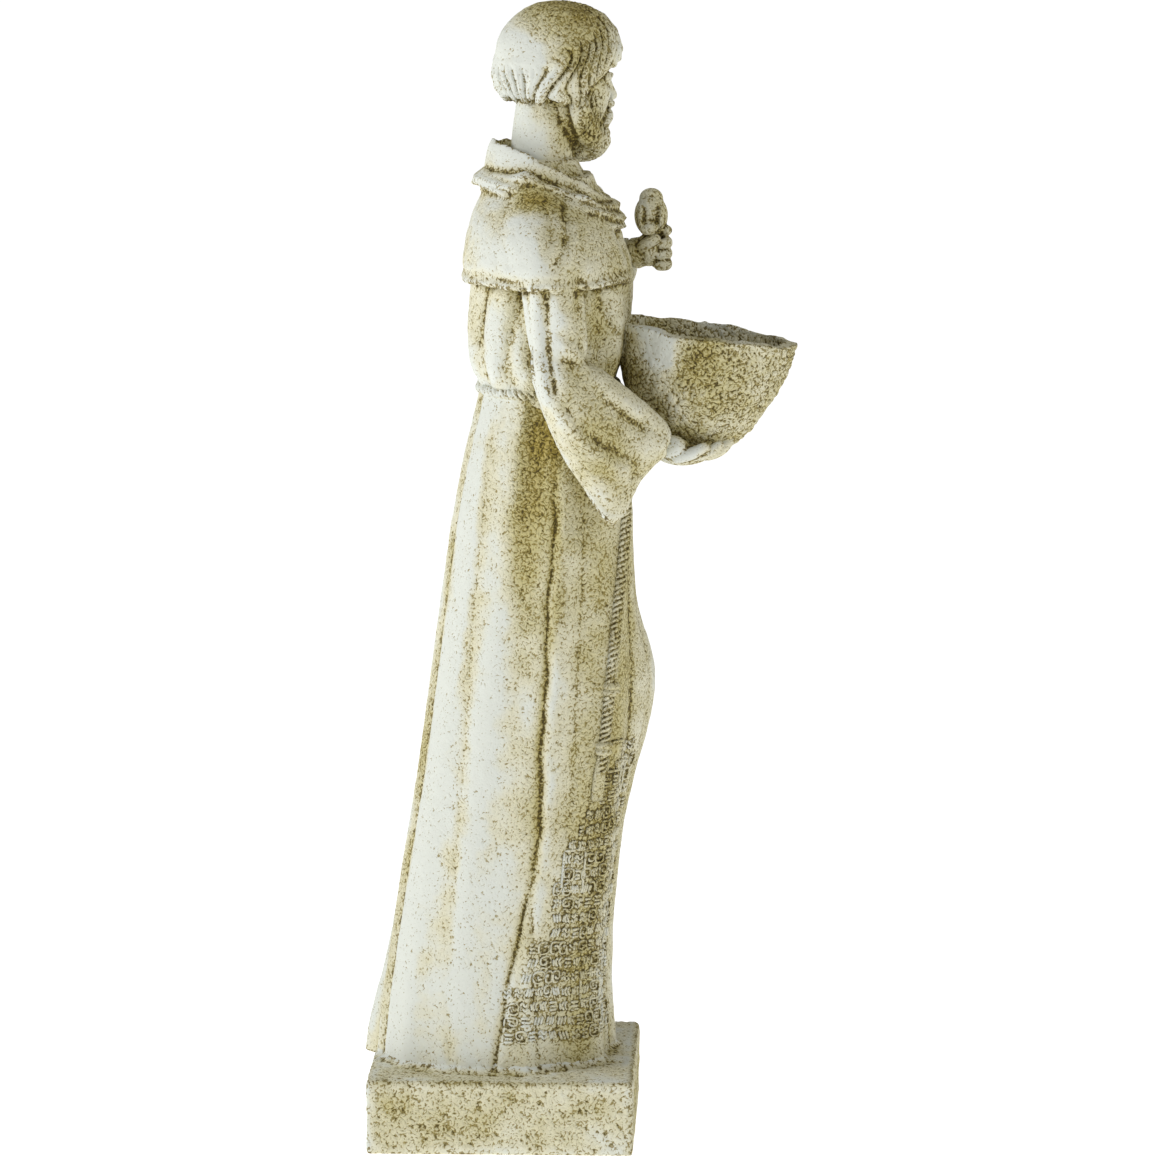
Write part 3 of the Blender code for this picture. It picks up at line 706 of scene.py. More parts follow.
def add_bird(clay):
    for centre, radii in (BIRD_BODY, BIRD_HEAD):
        ball(clay, spot(*centre), radii, fine=24)
    limb(clay, [spot(*p) for p in BIRD_BEAK], (2.6, 1.2), along=6)
    limb(clay, [spot(*p) for p in BIRD_TAIL], (8, 6), flat=0.6, along=8)
    for side in (1, -1):
        wing = [spot(left, BIRD_BODY[0][1] + side * BIRD_WING_SIDE, up) for left, _, up in BIRD_WING]
        limb(clay, wing, (3, 5, 2.4), upward=(0, 1, 0), flat=0.5, along=12)


# Head, about a point between the ears: left, fore and up from there, then turned and bowed
HEAD = (0, 37, 732)
HEAD_TURN = math.radians(30)
HEAD_BOW = math.radians(5)
SKULL = (0, -3, 14), (35, 43, 38)
FACE = (0, 14, -12), (28, 29, 42)
JAW = (0, 19, -30), (21, 22, 20)
BEARD = (0, 27, -44), (20, 21, 18)
NECK = [((0, 25, 640), 29), ((0, 28, 672), 24), ((0, 30, 698), 22.5), ((0, 34, 728), 23)]
# Face features: left, up, half width, half height and how far each stands out. Both sides are alike.
FACE_FEATURES = [
    (11, 9, 11, 4.5, 2.6),
    (0, 8, 6, 6, 1.2),
    (13, 0.5, 8.5, 5.5, -5.5),
    (19, -10, 9, 7, 2.4),
    (19, -27, 7, 9, -2.0),
    (0, -30, 11, 8, 2.4),
]
EYE = (13, 32.6, 0), 7.4
UPPER_LID = [(6, 37.5, 0.5), (13, 40.3, 3.2), (20, 35.6, 0.6)]
LOWER_LID = [(6, 37.5, -0.5), (13, 39.4, -3.8), (20, 35.4, -1.4)]
LID_RADII = (1.2, 1.7, 1.2)
BROW = [(4, 41.5, 7.5), (12, 41.5, 10.5), (21, 36.5, 8.5)]
NOSE = [(0, 41, 5), (0, 46, -6), (0, 51, -16)]
NOSE_RADII = (3.2, 3.4, 4.6)
NOSTRIL = (4.6, 45.5, -18.5), (3.6, 4.2, 3.2)
LIPS = ((0, 44.6, -30), (8, 3, 2.0)), ((0, 44.0, -33.6), (7, 3.2, 2.4))
WHISKERS = [(31, 2, -8), (28, 11, -28), (17, 25, -44), (4, 35, -52)]
MOUSTACHE = [(1, 46.5, -24.5), (9, 43, -28), (15, 36, -37)]

# Hair, by height: half length forward and back from its middle, and half width
HAIR_MIDDLE = 1
HAIR = [
    (54, 4, 4, 4),
    (51.5, 20, 17, 16),
    (46, 33, 27, 26),
    (36, 44, 36, 34),
    (22, 51, 43, 40),
    (8, 48, 47, 43),
    (-3, 46, 48, 43),
    (-12, 43, 45, 41),
    (-19, 38, 39, 37),
    (-25, 32, 31, 31),
]

# Beard, by height: first and last direction from the chin on each side
BEARD_SPAN = [
    (-66, 0, 60),
    (-54, 0, 80),
    (-46, 4, 88),
    (-38, 14, 96),
    (-30, 34, 104),
    (-22, 50, 106),
    (-12, 60, 104),
]
FRINGE_EDGE, NAPE_EDGE = 12, -22  # height of the hair's lower edge over the brow and at the back
FRINGE_SIDE, NAPE_SIDE = 52, 92  # the edge falls from one to the other between these directions
LOCK_WIDTH = 13.0  # degrees across a carved lock
LOCK_DEPTH = 3.6
STRAND_DEPTH = 1.0  # of the three strands in each lock
CURL_WIDTH = 8.5  # degrees across a curl of the beard
CURL_DEPTH = 1.9


def lock_place(turn, up):
    """Across the locks, counted in locks, where they wave down the head."""
    degrees = np.degrees(turn)
    side = np.sign(degrees) * ridge(np.abs(degrees) - 98, 30)
    sway = 5 * np.sin(up / 8 + degrees / 17) + 3.5 * side * np.sin(up / 6 + degrees / 9)
    sway = sway + 7 * np.sin(degrees / 13)
    return (degrees + sway) / LOCK_WIDTH


def lock_tip(turn):
    """How much further down or up each lock ends than the hair's even edge."""
    place = lock_place(turn, -20.0)
    number = np.floor(place).astype(np.int64)
    cell = np.stack([number, number * 0, number * 0], axis=-1)
    return 6.0 * (scattered(cell, 5) - 0.5) + 3.5 * (1 - np.abs(np.sin(math.pi * place))) ** 0.8


def head_turned():
    return Matrix.Rotation(HEAD_TURN, 3, "Z") @ Matrix.Rotation(HEAD_BOW, 3, "X")


def head_spot(left, fore, up):
    """A point of the head, in metres."""
    local = np.stack(np.broadcast_arrays(left, -np.asarray(fore, float), up), axis=-1)
    return spot(*HEAD) + local @ np.array(head_turned()).T * UNIT


def hair_edge(turn):
    """Height of the hair's lower edge in this direction."""
    share = np.clip((np.abs(np.degrees(turn)) - FRINGE_SIDE) / (NAPE_SIDE - FRINGE_SIDE), 0, 1)
    return FRINGE_EDGE + (NAPE_EDGE - FRINGE_EDGE) * (share * share * (3 - 2 * share))


def hair_point(turn, up, proud=0.0):
    """A point of the hair's surface, or that far off it."""
    table = np.array(HAIR[::-1], float)
    front, back, half = (np.interp(up, table[:, 0], column) for column in table.T[1:])
    reach = np.where(np.cos(turn) > 0, front, back) + proud
    return head_spot(-(half + proud) * np.sin(turn), HAIR_MIDDLE + reach * np.cos(turn), up)


def add_hair(clay):
    """The cap of hair, whose lower edge is the uneven tips of its locks."""

    def place(turn, rise):
        edge = hair_edge(turn) + 3 + lock_tip(turn)
        up = edge + (HAIR[0][0] - edge) * rise
        return hair_point(turn, up, -1.5 * smoothstep(30, 6, up - edge))

    column(clay, 420, 90, place)


def add_face(clay):
    """The face, whose features press its front out or in."""
    form = bmesh.new()
    centre, radii = FACE
    bmesh.ops.create_uvsphere(form, u_segments=120, v_segments=90, radius=1)
    unit = np.array([v.co for v in form.verts]) * radii
    left, fore, up = unit[:, 0], -unit[:, 1] + centre[1], unit[:, 2] + centre[2]
    facing = np.clip((fore - centre[1]) / 12, 0, 1)
    for side, level, wide, tall, push in FACE_FEATURES:
        for mirrored in {side, -side}:
            bump = np.exp(-(((left - mirrored) / wide) ** 2) - ((up - level) / tall) ** 2)
            fore = fore + push * bump * facing
    for vertex, co in zip(form.verts, head_spot(left, fore, up).tolist()):
        vertex.co = co
    put(clay, form)


def add_head(clay):
    turned = head_turned()
    limb(clay, [spot(*at) for at, _ in NECK], [r for _, r in NECK], upward=(0, 1, 0), around=48, along=30)
    for centre, radii in (SKULL, JAW, BEARD, *LIPS):
        ball(clay, head_spot(*centre), radii, turned, fine=48)
    add_face(clay)
    limb(clay, [head_spot(*p) for p in NOSE], NOSE_RADII, along=16)
    for side in (1, -1):
        centre, radius = EYE
        ball(clay, head_spot(side * centre[0], *centre[1:]), (radius,) * 3, turned, fine=32)
        centre, radii = NOSTRIL
        ball(clay, head_spot(side * centre[0], *centre[1:]), radii, turned, fine=24)
        for line, radii in (
            (UPPER_LID, LID_RADII),
            (LOWER_LID, LID_RADII),
            (BROW, (1.4, 2.4, 1.2)),
            (WHISKERS, (7, 8, 9, 8)),
            (MOUSTACHE, (3, 3.6, 2.4)),
        ):
            limb(clay, [head_spot(side * x, y, z) for x, y, z in line], radii, along=16)
    add_hair(clay)


def carve_hair(mesh):
    """Cuts locks into the hair and curls into the beard."""
    points, normals = points_of(mesh), normals_of(mesh)
    local = (points - spot(*HEAD)) @ np.array(head_turned()) / UNIT
    left, fore, up = local[:, 0], -local[:, 1], local[:, 2]
    table = np.array(HAIR[::-1], float)
    front, back, half = (np.interp(up, table[:, 0], values_there) for values_there in table.T[1:])
    ahead = (fore - HAIR_MIDDLE) / np.where(fore > HAIR_MIDDLE, front, back)
    turn = np.arctan2(-left / half, ahead)
    on_hair = smoothstep(0.84, 0.93, np.hypot(left / half, ahead))
    above = up - hair_edge(turn)
    degrees = np.abs(np.degrees(turn))
    reach = 30 + 22 * ridge(degrees - 92, 27) + 20 * smoothstep(72, 45, degrees)
    carved = on_hair * smoothstep(-5, 0, above) * smoothstep(reach, reach - 13, above)
    place = lock_place(turn, up)
    lock = np.abs(np.sin(math.pi * place)) ** 0.55 - 0.72
    strand = np.abs(np.sin(math.pi * (place * 3 + 0.2 * np.sin(up / 5)))) ** 0.7 - 0.6
    push = carved * (LOCK_DEPTH * lock + STRAND_DEPTH * strand)

    round_chin = np.degrees(np.arctan2(-left, fore - 12))
    beard = np.array(BEARD_SPAN, float)
    first, last = (np.interp(up, beard[:, 0], values_there) for values_there in beard.T[1:])
    aside = np.abs(round_chin)
    bearded = smoothstep(-7, -13, up) * smoothstep(first - 6, first + 5, aside)
    bearded *= smoothstep(last + 4, last - 8, aside)
    wave = 4.2 * np.sin(up / 3.6 + aside / 9) + 2 * np.sin(up / 7 + aside / 5)
    curl = np.abs(np.sin(math.pi * (aside + wave) / CURL_WIDTH)) ** 0.6 - 0.68
    hair = np.abs(np.sin(math.pi * (aside + wave * 0.8) * 2.6 / CURL_WIDTH)) ** 0.7 - 0.6
    push += bearded * (1 - carved) * (CURL_DEPTH * curl + 0.6 * hair)
    move_points(mesh, points + normals * (push * UNIT)[:, None])


# Bowl

BOWL_FOOT = (0, 134, 453)
BOWL_POINT = 0.08  # how far the rim draws out to a blunt point at the front, as a share
# The bowl's reach, as a share of its rim, by height
BOWL_SHAPE = [(0.0, 0.28), (0.10, 0.45), (0.25, 0.63), (0.5, 0.82), (0.75, 0.935), (1.0, 1.0)]
RIM_WAVER = 1.4 * MM


def bowl_reach(level):
    table = np.array(BOWL_SHAPE)
    return np.interp(level, table[:, 0], table[:, 1])


def add_bowl(clay):
    """A shell: up the outside, over the rim and down the inside."""
    foot = spot(*BOWL_FOOT)
    lean = np.array(Matrix.Rotation(BOWL_TILT, 3, "X"))
    floor = BOWL_FLOOR / BOWL_HEIGHT

    def place(turn, rise):
        outside = rise < 0.5
        climb = np.clip(np.where(outside, rise * 2, 2 - rise * 2), 0, 1)
        level = np.where(outside, climb, floor + (1 - floor) * climb)
        waver = np.sin(turn * 5 + 1) + 0.8 * np.sin(turn * 9 + 3) + 0.5 * np.sin(turn * 17)
        wall = np.where(outside, 0, BOWL_WALL + 0.6 * MM * waver)
        shrink = np.where(outside, 1, 0.25 + 0.75 * np.sqrt(np.clip(climb * 1.6, 0, 1)))
        point = 1 + BOWL_POINT * ridge(np.degrees(turn), 30)
        reach = bowl_reach(level)
        fore = (BOWL_LENGTH / 2 * reach - wall) * point * np.cos(turn) * shrink
        left = (BOWL_WIDTH / 2 * reach - wall) * np.sin(turn) * shrink
        high = level * BOWL_HEIGHT + RIM_WAVER * (waver - 1) * 0.5 * smoothstep(0.75, 1, level)
        return foot + np.stack([left, -fore, high], axis=-1) @ lean.T

    column(clay, 120, 120, place)


# Rope, round the waist and hanging down the robe's front: strands twisted together

ROPE_RADIUS = 5.0
ROPE_STRANDS = 3
ROPE_LAY = 14.5  # length of one full turn of the twist, in carving units
ROPE_CUT = 0.42  # depth of the grooves between the strands, as a share of the radius
BELT_SIZE, FALL_SIZE = 0.85, 0.85  # thickness of the belt and of its hanging end, as shares of that
ROPE_STEP = 0.9 * COARSE  # between rings of points along the rope, in carving units
BELT_PROUD, FALL_PROUD = -0.8, 2.4
CORD_FALL = [(13, 498), (19, 455), (28, 405), (34, 350), (37, 300), (39, 262), (40, 240), (41, 220)]
CORD_KNOTS = [(37, 284), (40, 240)]
KNOT_RADIUS, KNOT_HALF_HEIGHT = 6.5, 3.6
KNOT_LOOPS = (-2.2, 2.2)  # height of each loop from the knot's middle
TASSEL_THREADS = 7
TASSEL_STEP = 1.1  # degrees between its threads
TASSEL_LENGTH = 20.0
TASSEL_PROUD = 1.5
THREAD_RADII = (1.8, 2.1, 1.3)


def add_rope(clay, points, outward, size):
    """A rope of twisted strands along a line of points whose outward directions are given."""
    drawn = through(points, 60)
    steps = int(np.linalg.norm(np.diff(drawn, axis=0), axis=1).sum() / UNIT / ROPE_STEP)
    path, out = through(points, steps + 1), through(outward, steps + 1)
    tangent = np.gradient(path, axis=0)
    length = np.concatenate([[0], np.cumsum(np.linalg.norm(np.diff(path, axis=0), axis=1))]) / UNIT
    tangent /= np.linalg.norm(tangent, axis=1, keepdims=True)
    side = np.cross(tangent, out)
    side /= np.linalg.norm(side, axis=1, keepdims=True)
    normal = np.cross(side, tangent)

    def place(turn, rise):
        at = np.rint(rise * steps).astype(int)
        strand = np.abs(np.sin(ROPE_STRANDS / 2 * (turn + math.tau * length[at] / (ROPE_LAY * size)))) ** 0.7
        end = np.minimum(1, np.sqrt(np.minimum(rise, 1 - rise) * steps / 3 + 0.02))
        reach = ROPE_RADIUS * size * UNIT * (1 - ROPE_CUT * (1 - strand)) * end
        outward_now = np.cos(turn)[:, None] * side[at] + np.sin(turn)[:, None] * normal[at]
        return path[at] + reach[:, None] * outward_now

    column(clay, int(45 / COARSE), steps, place)


def add_belt(clay):
    around = np.linspace(0, 360, 73)
    waist = on_skirt(around, np.full(73, float(BELT)), BELT_PROUD)
    add_rope(clay, waist, waist - spot(0, 33, BELT), BELT_SIZE)


def add_cord_fall(clay):
    fall = np.array(CORD_FALL, float)
    line = on_skirt(fall[:, 0], fall[:, 1], FALL_PROUD)
    add_rope(clay, line, line - spot(0, 25, fall[:, 1]), FALL_SIZE)
    for degrees, up in CORD_KNOTS:
        for tip in KNOT_LOOPS:
            centre = on_skirt(degrees, up + tip, FALL_PROUD)
            ball(clay, centre, (KNOT_RADIUS, KNOT_RADIUS, KNOT_HALF_HEIGHT), fine=24)
    (_, above), (end, foot) = CORD_FALL[-2:]
    for thread in range(TASSEL_THREADS):
        aside = (thread - (TASSEL_THREADS - 1) / 2) * TASSEL_STEP
        degrees = np.array([end, end + aside * 0.7, end + aside])
        line = on_skirt(degrees, np.array([above, foot, foot - TASSEL_LENGTH]), TASSEL_PROUD)
        limb(clay, line, THREAD_RADII, upward=(0, 1, 0), around=8, along=12)


# Plinth and the ground on it, which rises to the hem in a hollow curve

GROUND_REACH = 13  # from the hem to the ground's edge
GROUND_TOP = 8
GROUND_INSET = 4  # between the ground and the plinth's edges


def add_plinth(clay):
    form = bmesh.new()
    size = Matrix.Diagonal((PLINTH_WIDTH, PLINTH_LENGTH, PLINTH_HEIGHT, 1))
    bmesh.ops.create_cube(form, size=1, matrix=Matrix.Translation((0, 0, PLINTH_HEIGHT / 2)) @ size)
    worn = [e for e in form.edges if max(v.co.z for v in e.verts) > PLINTH_HEIGHT / 2]
    bmesh.ops.bevel(form, geom=worn, offset=PLINTH_EDGE, segments=4, profile=0.5, affect="EDGES", material=-1)
    put(clay, form)


def add_ground(clay):
    back, front, half = SKIRT[1][1:]
    most_fore = PLINTH_LENGTH / 2 / UNIT - GROUND_INSET
    most_left = PLINTH_WIDTH / 2 / UNIT - GROUND_INSET

    def place(turn, rise):
        swell = skirt_swell(turn, np.full_like(turn, 6.0)) + GROUND_REACH * (1 - rise) ** 2.4 - 1
        fore = (front + back) / 2 + ((front - back) / 2 + swell) * np.cos(turn)
        left = np.clip(-(half + swell) * np.sin(turn), -most_left, most_left)
        return spot(left, np.clip(fore, -most_fore, most_fore), -3 + (GROUND_TOP + 3) * rise)

    column(clay, 200, 12, place)


# From clay to casting


def fused(name, adders, grid, rub=2):
    """The forms that the adders put down, fused on a grid and rubbed smooth, as one closed mesh."""
    clay = bmesh.new()
    for adder in adders:
        adder(clay)
    rough = bpy.data.meshes.new("rough")
    clay.to_mesh(rough)
    clay.free()
    helper = add_object("helper", rough)
    melt = helper.modifiers.new("melt", "REMESH")
    melt.mode = "VOXEL"
    melt.voxel_size = grid
    smooth = helper.modifiers.new("smooth", "SMOOTH")
    smooth.factor = 0.5
    smooth.iterations = rub
    graph = bpy.context.evaluated_depsgraph_get()
    mesh = bpy.data.meshes.new_from_object(helper.evaluated_get(graph))
    mesh.name = name
    bpy.data.objects.remove(helper)
    bpy.data.meshes.remove(rough)
    return mesh


def laid(name, adders):
    """The forms that the adders put down, as they are, with their flat ends kept out of the shading."""
    clay = bmesh.new()
    for adder in adders:
        adder(clay)
    bmesh.ops.recalc_face_normals(clay, faces=clay.faces)
    for face in clay.faces:
        face.smooth = len(face.verts) == 4
    for edge in clay.edges:
        edge.smooth = all(len(face.verts) == 4 for face in edge.link_faces)
    mesh = bpy.data.meshes.new(name)
    clay.to_mesh(mesh)
    clay.free()
    return mesh


def numbers_of(items, name, width, kind):
    flat = np.empty(len(items) * width, kind)
    items.foreach_get(name, flat)
    return flat.reshape(-1, width)


def points_of(mesh):
    return numbers_of(mesh.vertices, "co", 3, np.float32).astype(float)


def normals_of(mesh):
    return numbers_of(mesh.vertex_normals, "vector", 3, np.float32).astype(float)


def edges_of(mesh):
    return numbers_of(mesh.edges, "vertices", 2, np.int32)


def move_points(mesh, points):
    mesh.vertices.foreach_set("co", points.astype(np.float32).ravel())
    mesh.update()


def spread_out(values, edges, rounds):
    """Values, one column each, averaged with their neighbours again and again."""
    count = len(values)
    one, other = edges[:, 0], edges[:, 1]
    share = 1.0 / np.maximum(np.bincount(one, minlength=count) + np.bincount(other, minlength=count), 1)
    for _ in range(rounds):
        mixed = np.empty_like(values)
        for k in range(values.shape[1]):
            values_there = values[:, k]
            total = np.bincount(one, weights=values_there[other], minlength=count)
            total += np.bincount(other, weights=values_there[one], minlength=count)
            mixed[:, k] = total * share
        values = 0.4 * values + 0.6 * mixed
    return values


def roughen(mesh, fine, coarse, pits, cells=None, worms=0.0):
    """Casting marks: gentle lumps, fine grain, pits, crawling ridges and, where asked, pebbled cells.
    Heights are in mm."""
    points, normals = points_of(mesh), normals_of(mesh)
    push = coarse * lumps(points, 0.016, 3, 2) + fine * lumps(points, 0.0042, 7, 2)
    hole = smoothstep(0.42, 0.85, lumps(points, 0.0048, 12, 1) + 0.3 * lumps(points, 0.03, 15, 1))
    push -= pits * hole
    push += worms * (1 - 2.2 * np.abs(lumps(points, 0.0062, 18, 2)))
    if cells:
        depth, size = cells
        patchy = 0.25 + 0.75 * smoothstep(-0.6, 0.2, lumps(points, 0.03, 30))
        patchy *= 1 - 0.7 * smoothstep(0.2, 0.8, normals[:, 2])
        bent = points + 0.35 * size * np.stack([lumps(points, 2 * size, 40 + k) for k in range(3)], axis=1)
        push += depth * (pebbles(bent, size, 21) ** 0.7 - 0.6) * patchy
    standing = smoothstep(0.0, 0.004, points[:, 2])
    move_points(mesh, points + normals * (push * MM * standing)[:, None])


# Patina and painted shade. Dirt and ochre gather where the casting is hollow; where it is hidden from the sky
# the darkening is ochre patina together with painted shade, and under something it is painted shade

SKY_RAYS = 40
SKY_REACH = 0.12


def sky_hidden():
    """The frame's solid, and how much of the open air each of its points is hidden from."""
    solid = bmesh.new()
    solid.from_mesh(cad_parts[NODE].data)
    bmesh.ops.remove_doubles(solid, verts=solid.verts, dist=1e-6)
    solid.normal_update()
    tree = BVHTree.FromBMesh(solid)
    golden = math.pi * (3 - math.sqrt(5))
    rays = []
    for k in range(SKY_RAYS):
        height = math.sqrt((k + 0.5) / SKY_RAYS)
        flat = math.sqrt(1 - height * height)
        rays.append(Vector((flat * math.cos(golden * k), flat * math.sin(golden * k), height)))
    near = KDTree(len(solid.verts))
    hidden = np.zeros(len(solid.verts))
    for number, vertex in enumerate(solid.verts):
        near.insert(vertex.co, number)
        turn = vertex.normal.to_track_quat("Z", "X")
        start = vertex.co + vertex.normal * 0.003
        for ray in rays:
            distance = tree.ray_cast(start, turn @ ray, SKY_REACH)[3]
            if distance is not None:
                hidden[number] += (1 - distance / SKY_REACH) / SKY_RAYS
    near.balance()
    solid.free()
    return near, hidden


def hidden_at(points):
    near, hidden = SKY
    found = np.empty(len(points))
    for number, point in enumerate(points.tolist()):
        total = weight = 0.0
        for _, index, distance in near.find_n(point, 3):
            share = 1 / (distance + 0.002)
            total += share * hidden[index]
            weight += share
        found[number] = total / weight
    return found


def beside(points, mesh, reach):
    """1 where a point touches the mesh, falling to 0 at that distance from it."""
    near = KDTree(len(mesh.vertices))
    for number, vertex in enumerate(mesh.vertices):
        near.insert(vertex.co, number)
    near.balance()
    gap = np.array([near.find(point)[2] for point in points.tolist()])
    return smoothstep(reach, 0.3 * reach, gap)


# Where the casting is made darkest: painted shade by the sleeve, in the armpit and on the bowl, along with
# brown stains under the hood and on the crown. Left, fore and up, reach, and how much
SHADE_AND_DIRT_SPOTS = [
    (-60, 24, 478, 18, 0.3),
    (-60, 44, 471, 16, 0.25),
    (-62, 20, 645, 13, 0.8),
    (-64, 34, 642, 12, 0.6),
    (-62, 48, 636, 12, 0.35),
    (-50, 66, 551, 16, 0.35),
    (-20, 64, 686, 16, 0.35),
    (-5, 35, 786, 30, 0.6),
    (-12, 62, 772, 20, 0.35),
    (-26, 72, 748, 16, 0.15),
    (-15, 71, 700, 20, 0.25),
    (-36, 53, 747, 11, 0.55),
    (-30, 62, 718, 14, 0.15),
    (-22, 48, 694, 15, 0.35),
    (-50, 145, 536, 20, 0.35),
    (-45, 160, 506, 22, 0.2),
    (-48, 134, 520, 16, 0.3),
    (-85, 73, 468, 20, 0.2),
    (-76, 60, 446, 14, 0.2),
]
# Where it is made palest: painted highlight on the shoulder, the upper arm and the head, along with a cleaner
# coat on the neck, collar and back
HIGHLIGHT_AND_CLEAN_SPOTS = [
    (-95, 16, 614, 16, 0.45),
    (-38, 8, 750, 18, 0.6),
    (-36, 8, 732, 14, 0.4),
    (-15, 0, 700, 14, 0.4),
    (-35, 3, 679, 12, 0.35),
    (-100, 27, 549, 20, 0.4),
    (-98, 30, 520, 16, 0.35),
    (-50, -10, 545, 12, 0.3),
    (-50, 111, 535, 13, 0.5),
    (-50, 122, 527, 11, 0.35),
    (-45, 60, 652, 12, 0.2),
    (-45, 112, 512, 14, 0.2),
]
# Stripes that run down the skirt along its folds: darker ones are painted shade in the fold grooves and the
# crack, with staining, and paler ones are painted highlight on the fold ridges. Each has direction at the
# belt and at the hem, half width in degrees, and how much at the belt, halfway and at the hem
SKIRT_STAINS_AND_FOLD_SHADE = [
    (96, 91, 13, 0.62, 0.05, -0.1),
    (81, 76, 3, 0.3, 0.32, 0.12),
    (89, 91, 7, 0.0, -0.16, -0.1),
    (136, 112, 6, 0.15, 0.22, 0.26),
    (163, 167, 6, 0.25, 0.3, 0.3),
    (178, 180, 8, 0.2, 0.2, 0.2),
    (56, 50, 22, 0.12, 0.1, 0.12),
    (13, 42, 9, 0.25, 0.3, 0.2),
    (144, 146, 13, -0.25, -0.35, -0.4),
    (113, 108, 12, -0.1, -0.3, -0.3),
    (68, 64, 10, -0.1, -0.15, -0.1),
]


def plinth_stain(points):
    """The top is cleaner than the sides but for its edge, and the sides are dirtiest halfway up."""
    height = points[:, 2] / PLINTH_HEIGHT
    inset = np.maximum(np.abs(points[:, 0]) / PLINTH_WIDTH, np.abs(points[:, 1]) / PLINTH_LENGTH)
    top = smoothstep(0.97, 1.0, height) * smoothstep(0.495, 0.47, inset)
    return 0.16 * ridge(height - 0.55, 0.3) + 0.25 * ridge(height - 0.99, 0.06) - 0.3 * top


SKIRT_DARK = (96, 400, 62)  # the dirtiest patch: direction, height and reach up and down


# Painted shade in the skirt's fold grooves and painted highlight on its ridges, with staining and the
# dirtiest patch
def skirt_stain_and_fold_shade(points):
    up = (points[:, 2] - PLINTH_HEIGHT) / UNIT
    back, front, half = eased(SKIRT, up)
    fore = -points[:, 1] / UNIT - (front + back) / 2
    turn = np.arctan2(-points[:, 0] / UNIT / half, fore / ((front - back) / 2))
    share = np.clip(up / BELT, 0, 1)
    total = np.zeros(len(points))
    for head, foot, width, high, middle, low in SKIRT_STAINS_AND_FOLD_SHADE:
        centre = foot + (head - foot) * share + 2 * np.sin(up / 31 + head)
        total += np.interp(share, (0, 0.5, 1), (low, middle, high)) * ridge(apart(turn, centre), width)
    direction, level, reach = SKIRT_DARK
    return total + 0.25 * ridge(apart(turn, direction), 15) * ridge(up - level, reach)


def blots(points, spots):
    total = np.zeros(len(points))
    for left, fore, up, reach, strength in spots:
        gap = np.linalg.norm(points - spot(left, fore, up), axis=1) / (reach * UNIT)
        total += strength * np.exp(-(gap**2))
    return total


def store(mesh, name, values):
    layer = mesh.attributes.new(name, "FLOAT", "POINT")
    layer.data.foreach_set("value", values.astype(np.float32))


# Shares of dirt and of painted shade, where 0 is a clean, fully lit coat and 1 a thoroughly stained and
# shaded one
GRIME_ALL_OVER = 0.18
# Faces towards the figure's front, its unlit side, are made darker: painted shade along with staining
GRIME_AND_SHADE_IN_FRONT = 0.32
GRIME_IN_HOLLOWS = 0.36
RUBBED_OFF_RIDGES = 0.15
# Points hidden from the sky are darker: ochre patina in recesses and painted shade under the cape hem, behind
# the sleeve and between bowl and chest
GRIME_AND_SHADE_OUT_OF_THE_SKY = 0.4
# Faces that look down are made darker: painted shade
PAINTED_SHADE_UNDERNEATH = 0.10
GRIME_CLOUDS = 0.14
# Ochre beside the raised marks: painted shade at their feet
SHADE_BESIDE_MARKS, BESIDE_REACH = 0.55, 2.0 * MM
MOST_CAUGHT = 0.6


def weather(mesh, spacing, soiled, stain_and_shade, worn, marks):
    """Stores in grime_and_shade how much dirt has gathered at each point, together with painted shade
    on the front, underneath, out of the sky and at the dark spots, and in dent how much dirt is caught in
    small grooves and on edges to the share worn, plus painted shade beside the raised marks of another mesh."""
    points, normals, edges = points_of(mesh), normals_of(mesh), edges_of(mesh)
    rounds = max(2, int(round((0.0022 / spacing) ** 2 * 3)))
    near = spread_out(points, edges, rounds)
    wide = spread_out(near, edges, rounds * 7)
    dent = ((near - points) * normals).sum(1) / MM
    dent -= np.median(dent)
    hollow = ((wide - points) * normals).sum(1) / MM
    # The spots paint shade and highlight as well as dirt and cleaner patches
    grime_and_shade = GRIME_ALL_OVER + soiled + blots(points, SHADE_AND_DIRT_SPOTS) - blots(points, HIGHLIGHT_AND_CLEAN_SPOTS)
    # Darker towards the front: painted shade of the unlit side, with staining
    grime_and_shade += GRIME_AND_SHADE_IN_FRONT * smoothstep(-0.85, 0.75, -normals[:, 1])
    grime_and_shade += GRIME_IN_HOLLOWS * smoothstep(0.12, 1.4, hollow)
    grime_and_shade -= RUBBED_OFF_RIDGES * smoothstep(0.1, 1.2, -hollow)
    # Painted shade and patina where the casting is hidden from the sky
    grime_and_shade += GRIME_AND_SHADE_OUT_OF_THE_SKY * smoothstep(0.22, 0.7, hidden_at(points))
    # Painted shade on faces that look down
    grime_and_shade += PAINTED_SHADE_UNDERNEATH * smoothstep(0.2, 0.9, -normals[:, 2])
    grime_and_shade += GRIME_CLOUDS * lumps(points, 0.045, 5, 3)
    # For the skirt this paints shade and highlight along its folds
    if stain_and_shade:
        grime_and_shade += stain_and_shade(points)
    grime_and_shade = spread_out(np.clip(grime_and_shade, 0, 1.2)[:, None], edges, 3)[:, 0]
    caught_dirt_and_shade = 1.8 * np.maximum(dent - 0.04, 0) + worn * np.maximum(-dent - 0.14, 0)
    # Painted shade beside the raised marks
    if marks:
        caught_dirt_and_shade += SHADE_BESIDE_MARKS * beside(points, marks, BESIDE_REACH)
    store(mesh, "dent", np.clip(caught_dirt_and_shade, 0, MOST_CAUGHT))
    store(mesh, "grime_and_shade", grime_and_shade)


# Material


